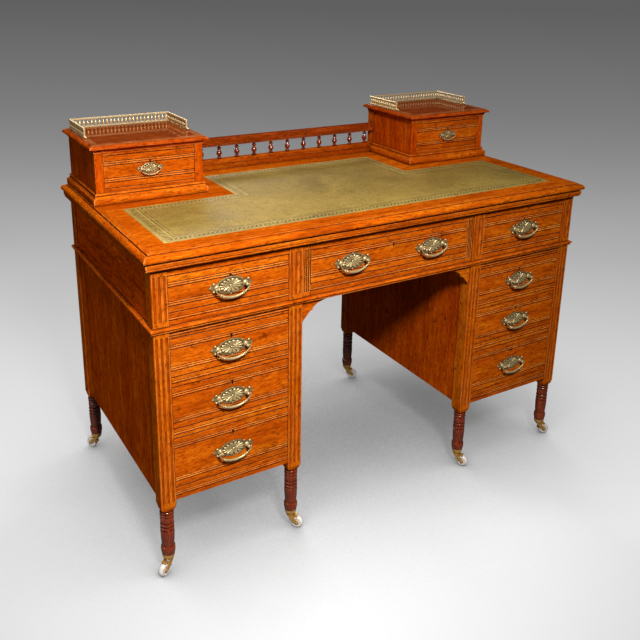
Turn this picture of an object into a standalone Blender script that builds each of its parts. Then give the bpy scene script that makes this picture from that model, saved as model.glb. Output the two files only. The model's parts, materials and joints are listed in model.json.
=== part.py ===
# Kneehole writing desk with two pedestals, nine desk drawers, two small drawer cases and eight casters.
# Metres, +X right along the front, +Y to the back, +Z up.
# The origin is on the floor under the middle of the top.

import math

import bmesh
import bpy
from mathutils import Matrix, Vector

# Clearances
SEAT_GAP = 0.0003
DRAWER_SIDE_GAP = 0.001
DRAWER_EDGE_GAP = 0.0006
BITE = 0.001
WELD = 0.00001

# Top board
TOP_WIDTH = 1.220
TOP_DEPTH = 0.630
TOP_OVERHANG = 0.0185
TOP_BACK_OVERHANG = 0.0165
TOP_THICKNESS = 0.022
NOSING_RADIUS = 0.011
UNDER_MOULDING_HEIGHT = 0.019
UNDER_MOULDING_OVERHANG = 0.0115
UNDER_MOULDING_COVE = 0.007

# Leather let into the top
LEATHER_THICKNESS = 0.0012
LEATHER_SIDE_MARGIN = 0.0664
LEATHER_FRONT_MARGIN = 0.0624
LEATHER_CASE_MARGIN = 0.045
LEATHER_NOTCH_MARGIN = 0.050
LEATHER_BACK_MARGIN = 0.051

# Heights of the pedestals, from the floor up
CASTER_HEIGHT = 0.0434
FOOT_HEIGHT = 0.1226
POST_DROP = 0.024
BOTTOM_RAIL = 0.032
DRAWER_HEIGHTS = (0.1206, 0.100, 0.0884)
MIDDLE_RAIL = 0.0226
TOP_RAIL = 0.0168
WAIST_THICKNESS = 0.012

# Pedestals
PEDESTAL_WIDTH = 0.347
POST = 0.035
FACE_SETBACK = 0.002
PANEL_RECESS = 0.003
PANEL_THICKNESS = 0.012
BOTTOM_BOARD = 0.011
TOP_DUST_BOARD = 0.009
RUNNER_HEIGHT = 0.009
RUNNER_SHELF = 0.012
RUNNER_STEP = 0.0002
GUIDE_HEIGHT = 0.018
SHOULDER_ROUND = 0.007

# Waist moulding and frieze
WAIST_OVERHANG = 0.007
WAIST_ROUND = 0.005
WAIST_FRAME_WIDTH = 0.040
FRIEZE_BOTTOM_RAIL = 0.0286
FRIEZE_DRAWER = 0.080
FRIEZE_TOP_RAIL = 0.0134
FRIEZE_DUST_BOARD = 0.009
FRIEZE_STRIP = 0.020
FRIEZE_BACK = 0.015

# Stopped flutes on the post faces
FLUTES_PER_POST = 3
FLUTE_PITCH = 0.0110
FLUTE_RADIUS = 0.0032
FLUTE_DEPTH = 0.0018
FLUTE_STOP = 0.010

# Kneehole spandrels
SPANDREL_HEIGHT = 0.049
SPANDREL_WIDTH = 0.090
SPANDREL_THICKNESS = 0.016
SPANDREL_STEP = 0.006
SPANDREL_TAIL = 0.022
SPANDREL_SETBACK = 0.004

# Drawers
FRONT_THICKNESS = 0.018
DRAWER_WALL = 0.010
DRAWER_FLOOR = 0.007
BOX_TOP_DROP = 0.010
BOX_SIDE_STEP = 0.0005
DRAWER_BACK_SPACE = 0.020
REEDS = 2
REED_PITCH = 0.0048
REED_HALF_WIDTH = 0.0011
REED_DEPTH = 0.0015
REED_MARGIN = 0.0140

# Drawer cases standing on the top
CASE_WIDTH = 0.265
CASE_DEPTH = 0.2227
CASE_SIDE_INSET = 0.006
CASE_BACK_INSET = 0.0036
CASE_BASE_HEIGHT = 0.027
CASE_BASE_OVERHANG = 0.0096
CASE_BASE_COVE = 0.007
CASE_BOTTOM_RAIL = 0.009
CASE_DRAWER = 0.079
CASE_TOP_RAIL = 0.008
CASE_STILE = 0.020
CASE_BACK = 0.012
LID_THICKNESS = 0.019
LID_OVERHANG = 0.012
LID_ROUND = 0.008

# Brass galleries on the cases
GALLERY_HEIGHT = 0.028
GALLERY_INSET = 0.006
GALLERY_SIDE_LENGTH = 0.155
GALLERY_RAIL_WIDTH = 0.005
GALLERY_SOLE_HEIGHT = 0.002
GALLERY_TOP_RAIL = 0.0035
BALUSTER_RADIUS = 0.0022
BALUSTER_WAIST = 0.0011
BALUSTER_PITCH = 0.0115
FINIAL_RADIUS = 0.004

# Spindle gallery between the cases
SPINDLE_RAIL_DEPTH = 0.020
SPINDLE_BACK_INSET = 0.012
SPINDLE_BOTTOM_RAIL = 0.0287
SPINDLE_HEIGHT = 0.036
SPINDLE_TOP_RAIL = 0.023
SPINDLES = 12
SPINDLE_RADIUS = 0.0075
SPINDLE_NECK = 0.0035
SPINDLE_BULB_RISE = 0.016
SPINDLE_BEAD_RADIUS = 0.0056
SPINDLE_BEAD_DROP = 0.0072
SPINDLE_BEAD_HALF = 0.0036

# Drop handles
PLATE_HALF_WIDTH = 0.050
PLATE_OVAL_HALF_WIDTH = 0.034
PLATE_OVAL_HALF_HEIGHT = 0.0185
PLATE_TIP_HALF_HEIGHT = 0.014
PLATE_THICKNESS = 0.002
HANDLE_SPREAD = 0.0325
HANDLE_REACH = 0.0115
HANDLE_DROP = 0.0045
STEM_RADIUS = 0.003
KNOB_RADIUS = 0.0050
KNOB_SHOULDER = 0.75
PIN_RADIUS = 0.0016
PIN_GAP = 0.0005
BAIL_GRIP_RADIUS = 0.0026
BAIL_DROP = 0.0265
BAIL_SQUARENESS = 0.7
BAIL_POINTS = 11
SMALL_HANDLE_SCALE = 0.66
CENTRE_HANDLE_SHARE = 0.508

# Turned feet and casters
FOOT_RADIUS = 0.0152
FOOT_NECK_RADIUS = 0.0125
FOOT_ANKLE_RADIUS = 0.0130
FOOT_BEAD_HEIGHT = 0.008
FOOT_BAND_HEIGHT = 0.018
FOOT_COLLAR_HEIGHT = 0.012
FOOT_TIP_HEIGHT = 0.010
PEG_RADIUS = 0.003
PEG_LENGTH = 0.018
PEG_GAP = 0.0007
SWIVEL_RADIUS = 0.0115
SWIVEL_THICKNESS = 0.007
WHEEL_RADIUS = 0.015
WHEEL_WIDTH = 0.012
WHEEL_CROWN = 0.0015
WHEEL_TRAIL = 0.017
AXLE_RADIUS = 0.002
FORK_GAP = 0.0006
FORK_ARM = 0.002
FORK_EYE_RADIUS = 0.005
FORK_EYE_START = 200.0
FORK_EYE_SWEEP = 200.0
FORK_ROOT_FRONT = 0.009
FORK_ROOT_BACK = 0.006

# Directions in which the casters trail, in degrees from +X, as (front, back) for each foot
CASTER_TRAILS = {
    "left_outer": (210.0, 125.0),
    "left_inner": (315.0, 60.0),
    "right_inner": (300.0, 330.0),
    "right_outer": (340.0, 150.0),
}

# Facets of round shapes
FOOT_SIDES = 8
FINE_SIDES = 6
BALUSTER_SIDES = 4
WHEEL_SIDES = 12
OVAL_POINTS = 16
CURVE_STEPS = 5
SMOOTH_ANGLE = 30.0

# Finishes as (colour, roughness, metallic)
OAK = ((0.46, 0.16, 0.035), 0.35, 0.0)
DARK_OAK = ((0.24, 0.08, 0.025), 0.35, 0.0)
LEATHER = ((0.29, 0.24, 0.063), 0.6, 0.0)
BRASS = ((0.69, 0.53, 0.25), 0.3, 1.0)
PORCELAIN = ((0.86, 0.78, 0.72), 0.2, 0.0)

# Heights worked out from the floor up
FOOT_TOP = CASTER_HEIGHT + FOOT_HEIGHT
PEDESTAL_BOTTOM = FOOT_TOP + POST_DROP
PEDESTAL_TOP = (
    PEDESTAL_BOTTOM + BOTTOM_RAIL + sum(DRAWER_HEIGHTS) + (len(DRAWER_HEIGHTS) - 1) * MIDDLE_RAIL + TOP_RAIL
)
WAIST_TOP = PEDESTAL_TOP + WAIST_THICKNESS
FRIEZE_DRAWER_BOTTOM = WAIST_TOP + FRIEZE_BOTTOM_RAIL
FRIEZE_DRAWER_TOP = FRIEZE_DRAWER_BOTTOM + FRIEZE_DRAWER
FRIEZE_TOP = FRIEZE_DRAWER_TOP + FRIEZE_TOP_RAIL
BOARD_BOTTOM = FRIEZE_TOP + UNDER_MOULDING_HEIGHT
BOARD_TOP = BOARD_BOTTOM + TOP_THICKNESS
CASE_BASE_TOP = BOARD_TOP + CASE_BASE_HEIGHT
CASE_DRAWER_BOTTOM = CASE_BASE_TOP + CASE_BOTTOM_RAIL
CASE_TOP = CASE_DRAWER_BOTTOM + CASE_DRAWER + CASE_TOP_RAIL
LID_TOP = CASE_TOP + LID_THICKNESS

# Planes of the body, measured from the middle of the top
BODY_HALF = TOP_WIDTH / 2 - TOP_OVERHANG
FRONT = -TOP_DEPTH / 2 + TOP_OVERHANG
BACK = TOP_DEPTH / 2 - TOP_BACK_OVERHANG
FACE = FRONT + FACE_SETBACK
KNEEHOLE_HALF = BODY_HALF - PEDESTAL_WIDTH
OPENING_INNER = KNEEHOLE_HALF + POST
OPENING_OUTER = BODY_HALF - POST
CENTRE_HALF = KNEEHOLE_HALF - FRIEZE_STRIP
CENTRE_HANDLE_X = CENTRE_HANDLE_SHARE * CENTRE_HALF
CASE_OUTER = BODY_HALF - CASE_SIDE_INSET
CASE_INNER = CASE_OUTER - CASE_WIDTH
SPINDLE_PITCH = 2 * CASE_INNER / SPINDLES
CASE_BACK_Y = BACK - CASE_BACK_INSET
CASE_FRONT_Y = CASE_BACK_Y - CASE_DEPTH
RAIL_BACK_Y = CASE_BACK_Y - SPINDLE_BACK_INSET
RAIL_FRONT_Y = RAIL_BACK_Y - SPINDLE_RAIL_DEPTH

SIDES = {"left": -1, "right": 1}


# Modelling helpers


def clear_scene():
    for obj in list(bpy.data.objects):
        bpy.data.objects.remove(obj, do_unlink=True)


def make_collection(name):
    group = bpy.data.collections.new(name)
    bpy.context.scene.collection.children.link(group)
    return group


def finish_material(name, finish):
    colour, roughness, metallic = finish
    mat = bpy.data.materials.new(name)
    mat.use_nodes = True
    shader = mat.node_tree.nodes["Principled BSDF"]
    shader.inputs["Base Color"].default_value = (*colour, 1.0)
    shader.inputs["Roughness"].default_value = roughness
    shader.inputs["Metallic"].default_value = metallic
    return mat


def mirrored(side, near, far):
    """The X range between two distances from the middle, on one side of the desk."""
    return sorted((side * near, side * far))


def box(bm, xs, ys, zs):
    """Add a closed box to a mesh being built."""
    spans = (xs, ys, zs)
    centre = [(low + high) / 2 for low, high in spans]
    size = [high - low for low, high in spans]
    matrix = Matrix.Translation(centre) @ Matrix.Diagonal((*size, 1.0))
    return bmesh.ops.create_cube(bm, size=1.0, matrix=matrix)["verts"]


def rod(bm, radius, length, matrix):
    """Add a closed round rod, lying along the matrix's Z axis, to a mesh being built."""
    sizes = {"radius1": radius, "radius2": radius, "depth": length}
    bmesh.ops.create_cone(bm, cap_ends=True, segments=FINE_SIDES, matrix=matrix, **sizes)


def stamp(bm, mesh, matrix):
    """Add a moved copy of a mesh to a mesh being built."""
    first = len(bm.verts)
    bm.from_mesh(mesh)
    bm.verts.ensure_lookup_table()
    bmesh.ops.transform(bm, matrix=matrix, verts=bm.verts[first:])


def round_edges(bm, chosen, width, segments):
    edges = [edge for edge in bm.edges if chosen(edge)]
    bmesh.ops.bevel(bm, geom=edges, offset=width, segments=segments, profile=0.5, affect="EDGES")


def level_edge(height):
    """A test for edges that lie flat at one height."""
    return lambda edge: all(abs(v.co.z - height) < SEAT_GAP for v in edge.verts)


def mesh_object(name, bm):
    mesh = bpy.data.meshes.new(name)
    bmesh.ops.recalc_face_normals(bm, faces=bm.faces)
    bm.to_mesh(mesh)
    bm.free()
    obj = bpy.data.objects.new(name, mesh)
    bpy.context.scene.collection.objects.link(obj)
    return obj


def boxes(name, *spans):
    """One helper object made of separate boxes."""
    bm = bmesh.new()
    for xs, ys, zs in spans:
        box(bm, xs, ys, zs)
    return mesh_object(name, bm)


def settle(obj):
    """Replace an object's mesh by the mesh that its modifiers give."""
    graph = bpy.context.evaluated_depsgraph_get()
    settled = bpy.data.meshes.new_from_object(obj.evaluated_get(graph))
    obj.modifiers.clear()
    raw = obj.data
    obj.data = settled
    bpy.data.meshes.remove(raw)
    return obj


def take_mesh(obj):
    """Keep an object's mesh and put the object away."""
    mesh = obj.data
    bpy.data.objects.remove(obj)
    return mesh


def combine(body, operation, *tools):
    """Join or cut a body with helper solids and put the helpers away."""
    for tool in tools:
        step = body.modifiers.new(tool.name, "BOOLEAN")
        step.operation = operation
        step.solver = "EXACT"
        step.object = tool
        settle(body)
        bpy.data.objects.remove(tool)
    return body


def cut(body, *tools):
    return combine(body, "DIFFERENCE", *tools)


def join(body, *tools):
    return combine(body, "UNION", *tools)


def turned(name, profile, sides):
    """Turn a profile of (radius, height) points, listed from the top down, about the Z axis."""
    bm = bmesh.new()
    points = [bm.verts.new((radius, 0.0, height)) for radius, height in profile]
    for upper, lower in zip(points, points[1:]):
        bm.edges.new((upper, lower))
    obj = mesh_object(name, bm)
    screw = obj.modifiers.new("Turn", "SCREW")
    screw.steps = sides
    screw.render_steps = sides
    screw.use_merge_vertices = True
    screw.merge_threshold = WELD
    return settle(obj)


def solid_curve(curve, name):
    """Turn a curve with thickness into one welded solid."""
    guide = bpy.data.objects.new(name, curve)
    bpy.context.scene.collection.objects.link(guide)
    graph = bpy.context.evaluated_depsgraph_get()
    mesh = bpy.data.meshes.new_from_object(guide.evaluated_get(graph))
    bpy.data.objects.remove(guide)
    bpy.data.curves.remove(curve)
    bm = bmesh.new()
    bm.from_mesh(mesh)
    bpy.data.meshes.remove(mesh)
    bmesh.ops.remove_doubles(bm, verts=bm.verts, dist=WELD)
    return mesh_object(name, bm)


def polyline(curve, points, closed):
    spline = curve.splines.new("POLY")
    spline.points.add(len(points) - 1)
    for point, place in zip(spline.points, points):
        point.co = (*place, 1.0)
    spline.use_cyclic_u = closed
    return spline


def slab(name, outline, thickness):
    """A flat closed outline in X and Y, thickened evenly about Z = 0."""
    curve = bpy.data.curves.new(name, "CURVE")
    curve.dimensions = "2D"
    curve.fill_mode = "BOTH"
    curve.extrude = thickness / 2
    polyline(curve, [(x, y, 0.0) for x, y in outline], True)
    return solid_curve(curve, name)


def turn_mesh(obj, matrix):
    obj.data.transform(matrix)
    return obj


def along_x(name, outline, xs):
    """An outline in (Y, Z) carried along X."""
    axes = Matrix(((0, 0, 1, (xs[0] + xs[1]) / 2), (1, 0, 0, 0), (0, 1, 0, 0), (0, 0, 0, 1)))
    return turn_mesh(slab(name, outline, xs[1] - xs[0]), axes)


def along_y(name, outline, ys):
    """An outline in (X, Z) carried along Y."""
    axes = Matrix(((1, 0, 0, 0), (0, 0, -1, (ys[0] + ys[1]) / 2), (0, 1, 0, 0), (0, 0, 0, 1)))
    return turn_mesh(slab(name, outline, ys[1] - ys[0]), axes)


def keep(obj, name, material, group, origin=(0.0, 0.0, 0.0)):
    """Name a finished piece, give it its finish and set its origin."""
    obj.name = name
    obj.data.name = name
    obj.data.materials.clear()
    obj.data.materials.append(material)
    obj.data.transform(Matrix.Translation(-Vector(origin)))
    obj.location = origin
    for home in list(obj.users_collection):
        home.objects.unlink(obj)
    group.objects.link(obj)
    obj.data.shade_smooth()
    obj.data.set_sharp_from_angle(angle=math.radians(SMOOTH_ANGLE))
    return obj


# Top and leather


def leather_outline(margin):
    """The T outline of the leather, drawn in by a margin, notched round both drawer cases."""
    side = TOP_WIDTH / 2 - LEATHER_SIDE_MARGIN - margin
    notch = CASE_INNER - CASE_BASE_OVERHANG - LEATHER_NOTCH_MARGIN - margin
    front = -TOP_DEPTH / 2 + LEATHER_FRONT_MARGIN + margin
    shelf = CASE_FRONT_Y - CASE_BASE_OVERHANG - LEATHER_CASE_MARGIN - margin
    back = RAIL_FRONT_Y - LEATHER_BACK_MARGIN - margin
    right = [(side, front), (side, shelf), (notch, shelf), (notch, back)]
    return right + [(-x, y) for x, y in reversed(right)]


def top_board(oak, group):
    """The moulded top with the stepped moulding under its edge and a shallow bed for the leather."""
    half_x = TOP_WIDTH / 2
    half_y = TOP_DEPTH / 2
    bm = bmesh.new()
    box(bm, (-half_x, half_x), (-half_y, half_y), (BOARD_BOTTOM, BOARD_TOP))
    round_edges(bm, level_edge(BOARD_TOP), NOSING_RADIUS, 3)
    board = mesh_object("top_board", bm)

    out_x = BODY_HALF + UNDER_MOULDING_OVERHANG
    out_front = FRONT - UNDER_MOULDING_OVERHANG
    bottom = FRIEZE_TOP + SEAT_GAP
    bm = bmesh.new()
    box(bm, (-out_x, out_x), (out_front, BACK), (bottom, BOARD_BOTTOM + BITE))
    round_edges(bm, level_edge(bottom), UNDER_MOULDING_COVE, 1)
    join(board, mesh_object("under_moulding", bm))

    bed = slab("leather_bed", leather_outline(-SEAT_GAP), 2 * (LEATHER_THICKNESS + SEAT_GAP))
    cut(board, turn_mesh(bed, Matrix.Translation((0, 0, BOARD_TOP))))
    return keep(board, "top_board", oak, group)


def leather_inset(leather, group):
    sheet = slab("leather_inset", leather_outline(0.0), LEATHER_THICKNESS)
    turn_mesh(sheet, Matrix.Translation((0, 0, BOARD_TOP - LEATHER_THICKNESS / 2)))
    return keep(sheet, "leather_inset", leather, group)


# Carcass


def flutes(name, post_centres, bottom, top):
    """Stopped flutes for the front faces of posts."""
    high = top - FLUTE_STOP
    low = bottom + FLUTE_STOP
    profile = [
        (0.0, high),
        (FLUTE_RADIUS, high - FLUTE_RADIUS),
        (FLUTE_RADIUS, low + FLUTE_RADIUS),
        (0.0, low),
    ]
    pattern = take_mesh(turned(name, profile, FINE_SIDES))
    y = FRONT - FLUTE_RADIUS + FLUTE_DEPTH
    bm = bmesh.new()
    for centre in post_centres:
        for number in range(FLUTES_PER_POST):
            x = centre + (number - (FLUTES_PER_POST - 1) / 2) * FLUTE_PITCH
            stamp(bm, pattern, Matrix.Translation((x, y, 0)))
    return mesh_object(name, bm)


def pedestal_levels():
    """The bottom and top of each drawer opening, from the lowest up."""
    levels = []
    bottom = PEDESTAL_BOTTOM + BOTTOM_RAIL
    for height in DRAWER_HEIGHTS:
        levels.append((bottom, bottom + height))
        bottom += height + MIDDLE_RAIL
    return levels


def foot_profile():
    """The turned foot from its shoulder down, with the hole for the caster's peg in its tip."""
    top = FOOT_TOP
    tip = CASTER_HEIGHT
    beads = [(FOOT_NECK_RADIUS, top + POST_DROP / 4), (FOOT_NECK_RADIUS, top)]
    z = top
    bead = (FOOT_BEAD_HEIGHT, (0.5,))
    band = (FOOT_BAND_HEIGHT, (0.25, 0.75))
    for height, ridges in (bead, band, bead, bead):
        beads += [(FOOT_RADIUS, z - height * ridge) for ridge in ridges]
        z -= height
        beads.append((FOOT_NECK_RADIUS, z))
    collar = tip + FOOT_TIP_HEIGHT + FOOT_COLLAR_HEIGHT
    barrel = [(FOOT_RADIUS, z - BITE), (FOOT_ANKLE_RADIUS, collar)]
    foot = [(FOOT_RADIUS, collar - BITE), (FOOT_RADIUS, tip + FOOT_TIP_HEIGHT), (FOOT_ANKLE_RADIUS, tip)]
    hole = PEG_RADIUS + PEG_GAP
    socket = [(hole, tip), (hole, tip + PEG_LENGTH + PEG_GAP), (0.0, tip + PEG_LENGTH + PEG_GAP)]
    return [(0.0, top + POST_DROP / 4)] + beads + barrel + foot + socket


def foot_places(side):
    """The axes of one pedestal's feet, in the middle of its posts."""
    inset = POST / 2
    outer = side * (BODY_HALF - inset)
    inner = side * (KNEEHOLE_HALF + inset)
    return {
        "outer_front": (outer, FRONT + inset),
        "outer_back": (outer, BACK - inset),
        "inner_front": (inner, FRONT + inset),
        "inner_back": (inner, BACK - inset),
    }


def spandrel(name, side):
    """A shaped bracket under the frieze: a hollow curve, a small step and a straight taper to its tip."""
    top = PEDESTAL_TOP - 2 * SEAT_GAP
    tip = top - SPANDREL_HEIGHT
    hollow_x = SPANDREL_WIDTH - SPANDREL_TAIL - SPANDREL_STEP
    hollow_z = SPANDREL_HEIGHT / 2
    edge = [(-BITE, top), (-BITE, tip), (BITE, tip)]
    edge.append((SPANDREL_TAIL, tip + hollow_z))
    for number in range(CURVE_STEPS + 1):
        angle = math.pi / 2 * number / CURVE_STEPS
        across = SPANDREL_TAIL + SPANDREL_STEP + hollow_x * (1 - math.cos(angle))
        edge.append((across, tip + hollow_z + (hollow_z - BITE) * math.sin(angle)))
    edge.append((SPANDREL_WIDTH, top))
    outline = [(side * (KNEEHOLE_HALF - across), z) for across, z in edge]
    return along_y(name, outline, (FRONT + SPANDREL_SETBACK, FRONT + SPANDREL_SETBACK + SPANDREL_THICKNESS))


def pedestal_shell(name, side):
    """The square posts, panels and rails of one pedestal, cut from its outer block."""
    xs = mirrored(side, KNEEHOLE_HALF, BODY_HALF)
    between = mirrored(side, OPENING_INNER, OPENING_OUTER)
    wall = PANEL_RECESS + PANEL_THICKNESS
    top = PEDESTAL_TOP - SEAT_GAP
    posts_y = (FRONT + POST, BACK - POST)
    body = boxes(name, (xs, (FRONT, BACK), (FOOT_TOP, top)))
    under_z = (FOOT_TOP - BITE, PEDESTAL_BOTTOM)
    under_front = boxes("under_front", (between, (FRONT - BITE, BACK + BITE), under_z))
    under_side = boxes("under_side", ((xs[0] - BITE, xs[1] + BITE), posts_y, under_z))
    cut(body, under_front, under_side)
    bm = bmesh.new()
    bm.from_mesh(body.data)
    round_edges(bm, level_edge(FOOT_TOP), SHOULDER_ROUND, 2)
    bm.to_mesh(body.data)
    bm.free()

    inside = boxes(
        "inside",
        (
            (xs[0] + wall, xs[1] - wall),
            (FRONT + POST, BACK - wall),
            (PEDESTAL_BOTTOM + BOTTOM_BOARD, top - TOP_DUST_BOARD),
        ),
    )
    mouth_y = (FRONT - BITE, FRONT + POST + BITE)
    mouths = boxes("mouths", *[(between, mouth_y, level) for level in pedestal_levels()])
    case_z = (PEDESTAL_BOTTOM - BITE, top + BITE)
    face = boxes("face", (between, (FRONT - BITE, FACE), case_z))
    panels = boxes(
        "panels",
        ((xs[0] - BITE, xs[0] + PANEL_RECESS), posts_y, case_z),
        ((xs[1] - PANEL_RECESS, xs[1] + BITE), posts_y, case_z),
        (between, (BACK - PANEL_RECESS, BACK + BITE), case_z),
    )
    return cut(body, inside, mouths, face, panels)


def runners(side):
    """The runner under each drawer side and the guide beside it."""
    wall = PANEL_RECESS + PANEL_THICKNESS
    ys = (FRONT + POST - BITE, BACK - wall + BITE)
    shelves = []
    guides = []
    for bottom, _ in pedestal_levels():
        shelf_z = (bottom - RUNNER_STEP - RUNNER_HEIGHT, bottom - RUNNER_STEP)
        guide_z = (shelf_z[0] + BITE, bottom + GUIDE_HEIGHT)
        outer_wall = BODY_HALF - wall + BITE
        inner_wall = KNEEHOLE_HALF + wall - BITE
        shelves.append((mirrored(side, OPENING_OUTER - RUNNER_SHELF, outer_wall), ys, shelf_z))
        shelves.append((mirrored(side, inner_wall, OPENING_INNER + RUNNER_SHELF), ys, shelf_z))
        guides.append((mirrored(side, OPENING_OUTER + SEAT_GAP, outer_wall), ys, guide_z))
        guides.append((mirrored(side, inner_wall, OPENING_INNER - SEAT_GAP), ys, guide_z))
    return boxes("shelves", *shelves), boxes("guides", *guides)


def pedestal(side_name, oak, group):
    side = SIDES[side_name]
    name = side_name + "_pedestal"
    body = pedestal_shell(name, side)
    join(body, *runners(side))

    foot = take_mesh(turned("foot", foot_profile(), FOOT_SIDES))
    bm = bmesh.new()
    for x, y in foot_places(side).values():
        stamp(bm, foot, Matrix.Translation((x, y, 0)))
    join(body, mesh_object("feet", bm), spandrel("spandrel", side))

    fronts = [side * (BODY_HALF - POST / 2), side * (KNEEHOLE_HALF + POST / 2)]
    cut(body, flutes("flutes", fronts, FOOT_TOP + SHOULDER_ROUND, PEDESTAL_TOP))
    return keep(body, name, oak, group)


def waist_moulding(oak, group):
    """The rounded frame between pedestals and frieze, flush at the back."""
    out_x = BODY_HALF + WAIST_OVERHANG
    out_front = FRONT - WAIST_OVERHANG
    bm = bmesh.new()
    box(bm, (-out_x, out_x), (out_front, BACK), (PEDESTAL_TOP, WAIST_TOP))

    def rounded(edge):
        level = level_edge(PEDESTAL_TOP)(edge) or level_edge(WAIST_TOP)(edge)
        return level and not all(abs(v.co.y - BACK) < SEAT_GAP for v in edge.verts)

    round_edges(bm, rounded, WAIST_ROUND, 2)
    frame = mesh_object("waist_moulding", bm)
    hole_x = BODY_HALF - WAIST_FRAME_WIDTH
    hole_y = (FRONT + WAIST_FRAME_WIDTH, BACK - WAIST_FRAME_WIDTH)
    cut(frame, boxes("hole", ((-hole_x, hole_x), hole_y, (PEDESTAL_TOP - BITE, WAIST_TOP + BITE))))
    return keep(frame, "waist_moulding", oak, group)


def frieze_carcass(oak, group):
    """The frieze with its fluted posts, rails and three drawer openings."""
    bottom = WAIST_TOP + SEAT_GAP
    beyond_z = (bottom - BITE, FRIEZE_TOP + BITE)
    drawer_z = (FRIEZE_DRAWER_BOTTOM, FRIEZE_DRAWER_TOP)
    sides = [mirrored(side, OPENING_INNER, OPENING_OUTER) for side in SIDES.values()]
    body = boxes("frieze_carcass", ((-BODY_HALF, BODY_HALF), (FRONT, BACK), (bottom, FRIEZE_TOP)))

    depth = (FRONT - BITE, BACK - FRIEZE_BACK)
    mouths = boxes("mouths", *[(xs, depth, drawer_z) for xs in sides + [(-CENTRE_HALF, CENTRE_HALF)]])
    faces = sides + [(-KNEEHOLE_HALF, KNEEHOLE_HALF)]
    face = boxes("face", *[(xs, (FRONT - BITE, FACE), beyond_z) for xs in faces])
    under_y = (FRONT + POST, BACK - POST)
    under_z = (bottom - BITE, FRIEZE_DRAWER_BOTTOM - FRIEZE_DUST_BOARD)
    under = boxes("under", *[(xs, under_y, under_z) for xs in faces])
    panels = boxes(
        "panels",
        ((-BODY_HALF - BITE, -BODY_HALF + PANEL_RECESS), under_y, beyond_z),
        ((BODY_HALF - PANEL_RECESS, BODY_HALF + BITE), under_y, beyond_z),
    )
    posts = [side * x for side in SIDES.values() for x in (BODY_HALF - POST / 2, KNEEHOLE_HALF + POST / 2)]
    cut(body, mouths, face, under, panels, flutes("flutes", posts, WAIST_TOP, FRIEZE_TOP))
    return keep(body, "frieze_carcass", oak, group)


# Drawers


def reeded_face(bottom, top, face):
    """The front board's section in (Y, Z), with a band of reeds near its top and bottom edges."""
    outline = [(face + FRONT_THICKNESS, bottom), (face, bottom)]
    band = REEDS * REED_PITCH
    for start in (bottom + REED_MARGIN, top - REED_MARGIN - band):
        for number in range(REEDS + 1):
            z = start + number * REED_PITCH
            outline.append((face, z - REED_HALF_WIDTH))
            outline.append((face + REED_DEPTH, z))
            outline.append((face, z + REED_HALF_WIDTH))
    return outline + [(face, top), (face + FRONT_THICKNESS, top)]


def drawer_solid(name, xs, level, face, back):
    """A reeded front board with an open box behind it, inside its opening's clearances."""
    bottom, top = level
    front_x = (xs[0] + DRAWER_SIDE_GAP, xs[1] - DRAWER_SIDE_GAP)
    outline = reeded_face(bottom + DRAWER_EDGE_GAP, top - DRAWER_EDGE_GAP, face)
    body = along_x(name, outline, front_x)

    box_x = (front_x[0] + BOX_SIDE_STEP, front_x[1] - BOX_SIDE_STEP)
    box_z = (bottom + SEAT_GAP, top - BOX_TOP_DROP)
    behind = face + FRONT_THICKNESS
    join(body, boxes("tray", (box_x, (behind - BITE, back), box_z)))
    inner_x = (box_x[0] + DRAWER_WALL, box_x[1] - DRAWER_WALL)
    inner_y = (behind + BOX_SIDE_STEP, back - DRAWER_WALL)
    cut(body, boxes("room", (inner_x, inner_y, (box_z[0] + DRAWER_FLOOR, top + BITE))))
    return body


def drawer(name, xs, level, face, back, oak, group):
    origin = ((xs[0] + xs[1]) / 2, face, (level[0] + level[1]) / 2)
    return keep(drawer_solid(name, xs, level, face, back), name, oak, group, origin)


# Handles


def handle_post(scale):
    """A stem with a round knob, pointing to the front from the plate."""
    reach = HANDLE_REACH * scale
    knob = KNOB_RADIUS * scale
    stem = STEM_RADIUS * scale
    profile = [
        (0.0, reach + knob),
        (knob * KNOB_SHOULDER, reach + knob * KNOB_SHOULDER),
        (knob, reach),
        (stem, reach - knob * KNOB_SHOULDER),
        (stem, 0.0),
        (0.0, 0.0),
    ]
    post = turned("post", profile, FINE_SIDES)
    return turn_mesh(post, Matrix.Rotation(math.radians(90), 4, "X"))


def pin_holes(scale, centre):
    """The cross holes of both knobs, wide enough for the bail's pins to turn."""
    x, y, z = centre
    radius = (PIN_RADIUS * scale + PIN_GAP) / math.cos(math.pi / FINE_SIDES)
    length = (KNOB_RADIUS * scale + BITE) * 2
    bm = bmesh.new()
    for side in SIDES.values():
        place = Matrix.Translation((x + side * HANDLE_SPREAD * scale, y, z))
        across = place @ Matrix.Rotation(math.radians(90), 4, "Y")
        rod(bm, radius, length, across)
    return mesh_object("holes", bm)


def two_posts(scale, centre, root_y):
    """Both handle posts, rooted at a plane behind the pivots."""
    x, _, z = centre
    pattern = take_mesh(handle_post(scale))
    bm = bmesh.new()
    for side in SIDES.values():
        stamp(bm, pattern, Matrix.Translation((x + side * HANDLE_SPREAD * scale, root_y, z)))
    return mesh_object("posts", bm)


def plate_outline():
    """An oval with a pointed tip at each end."""
    outline = []
    for number in range(OVAL_POINTS):
        angle = 2 * math.pi * number / OVAL_POINTS
        c, s = math.cos(angle), math.sin(angle)
        oval = 1 / math.hypot(c / PLATE_OVAL_HALF_WIDTH, s / PLATE_OVAL_HALF_HEIGHT)
        tip = 1 / (abs(c) / PLATE_HALF_WIDTH + abs(s) / PLATE_TIP_HALF_HEIGHT)
        outline.append((max(oval, tip) * c, max(oval, tip) * s))
    return outline


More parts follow.
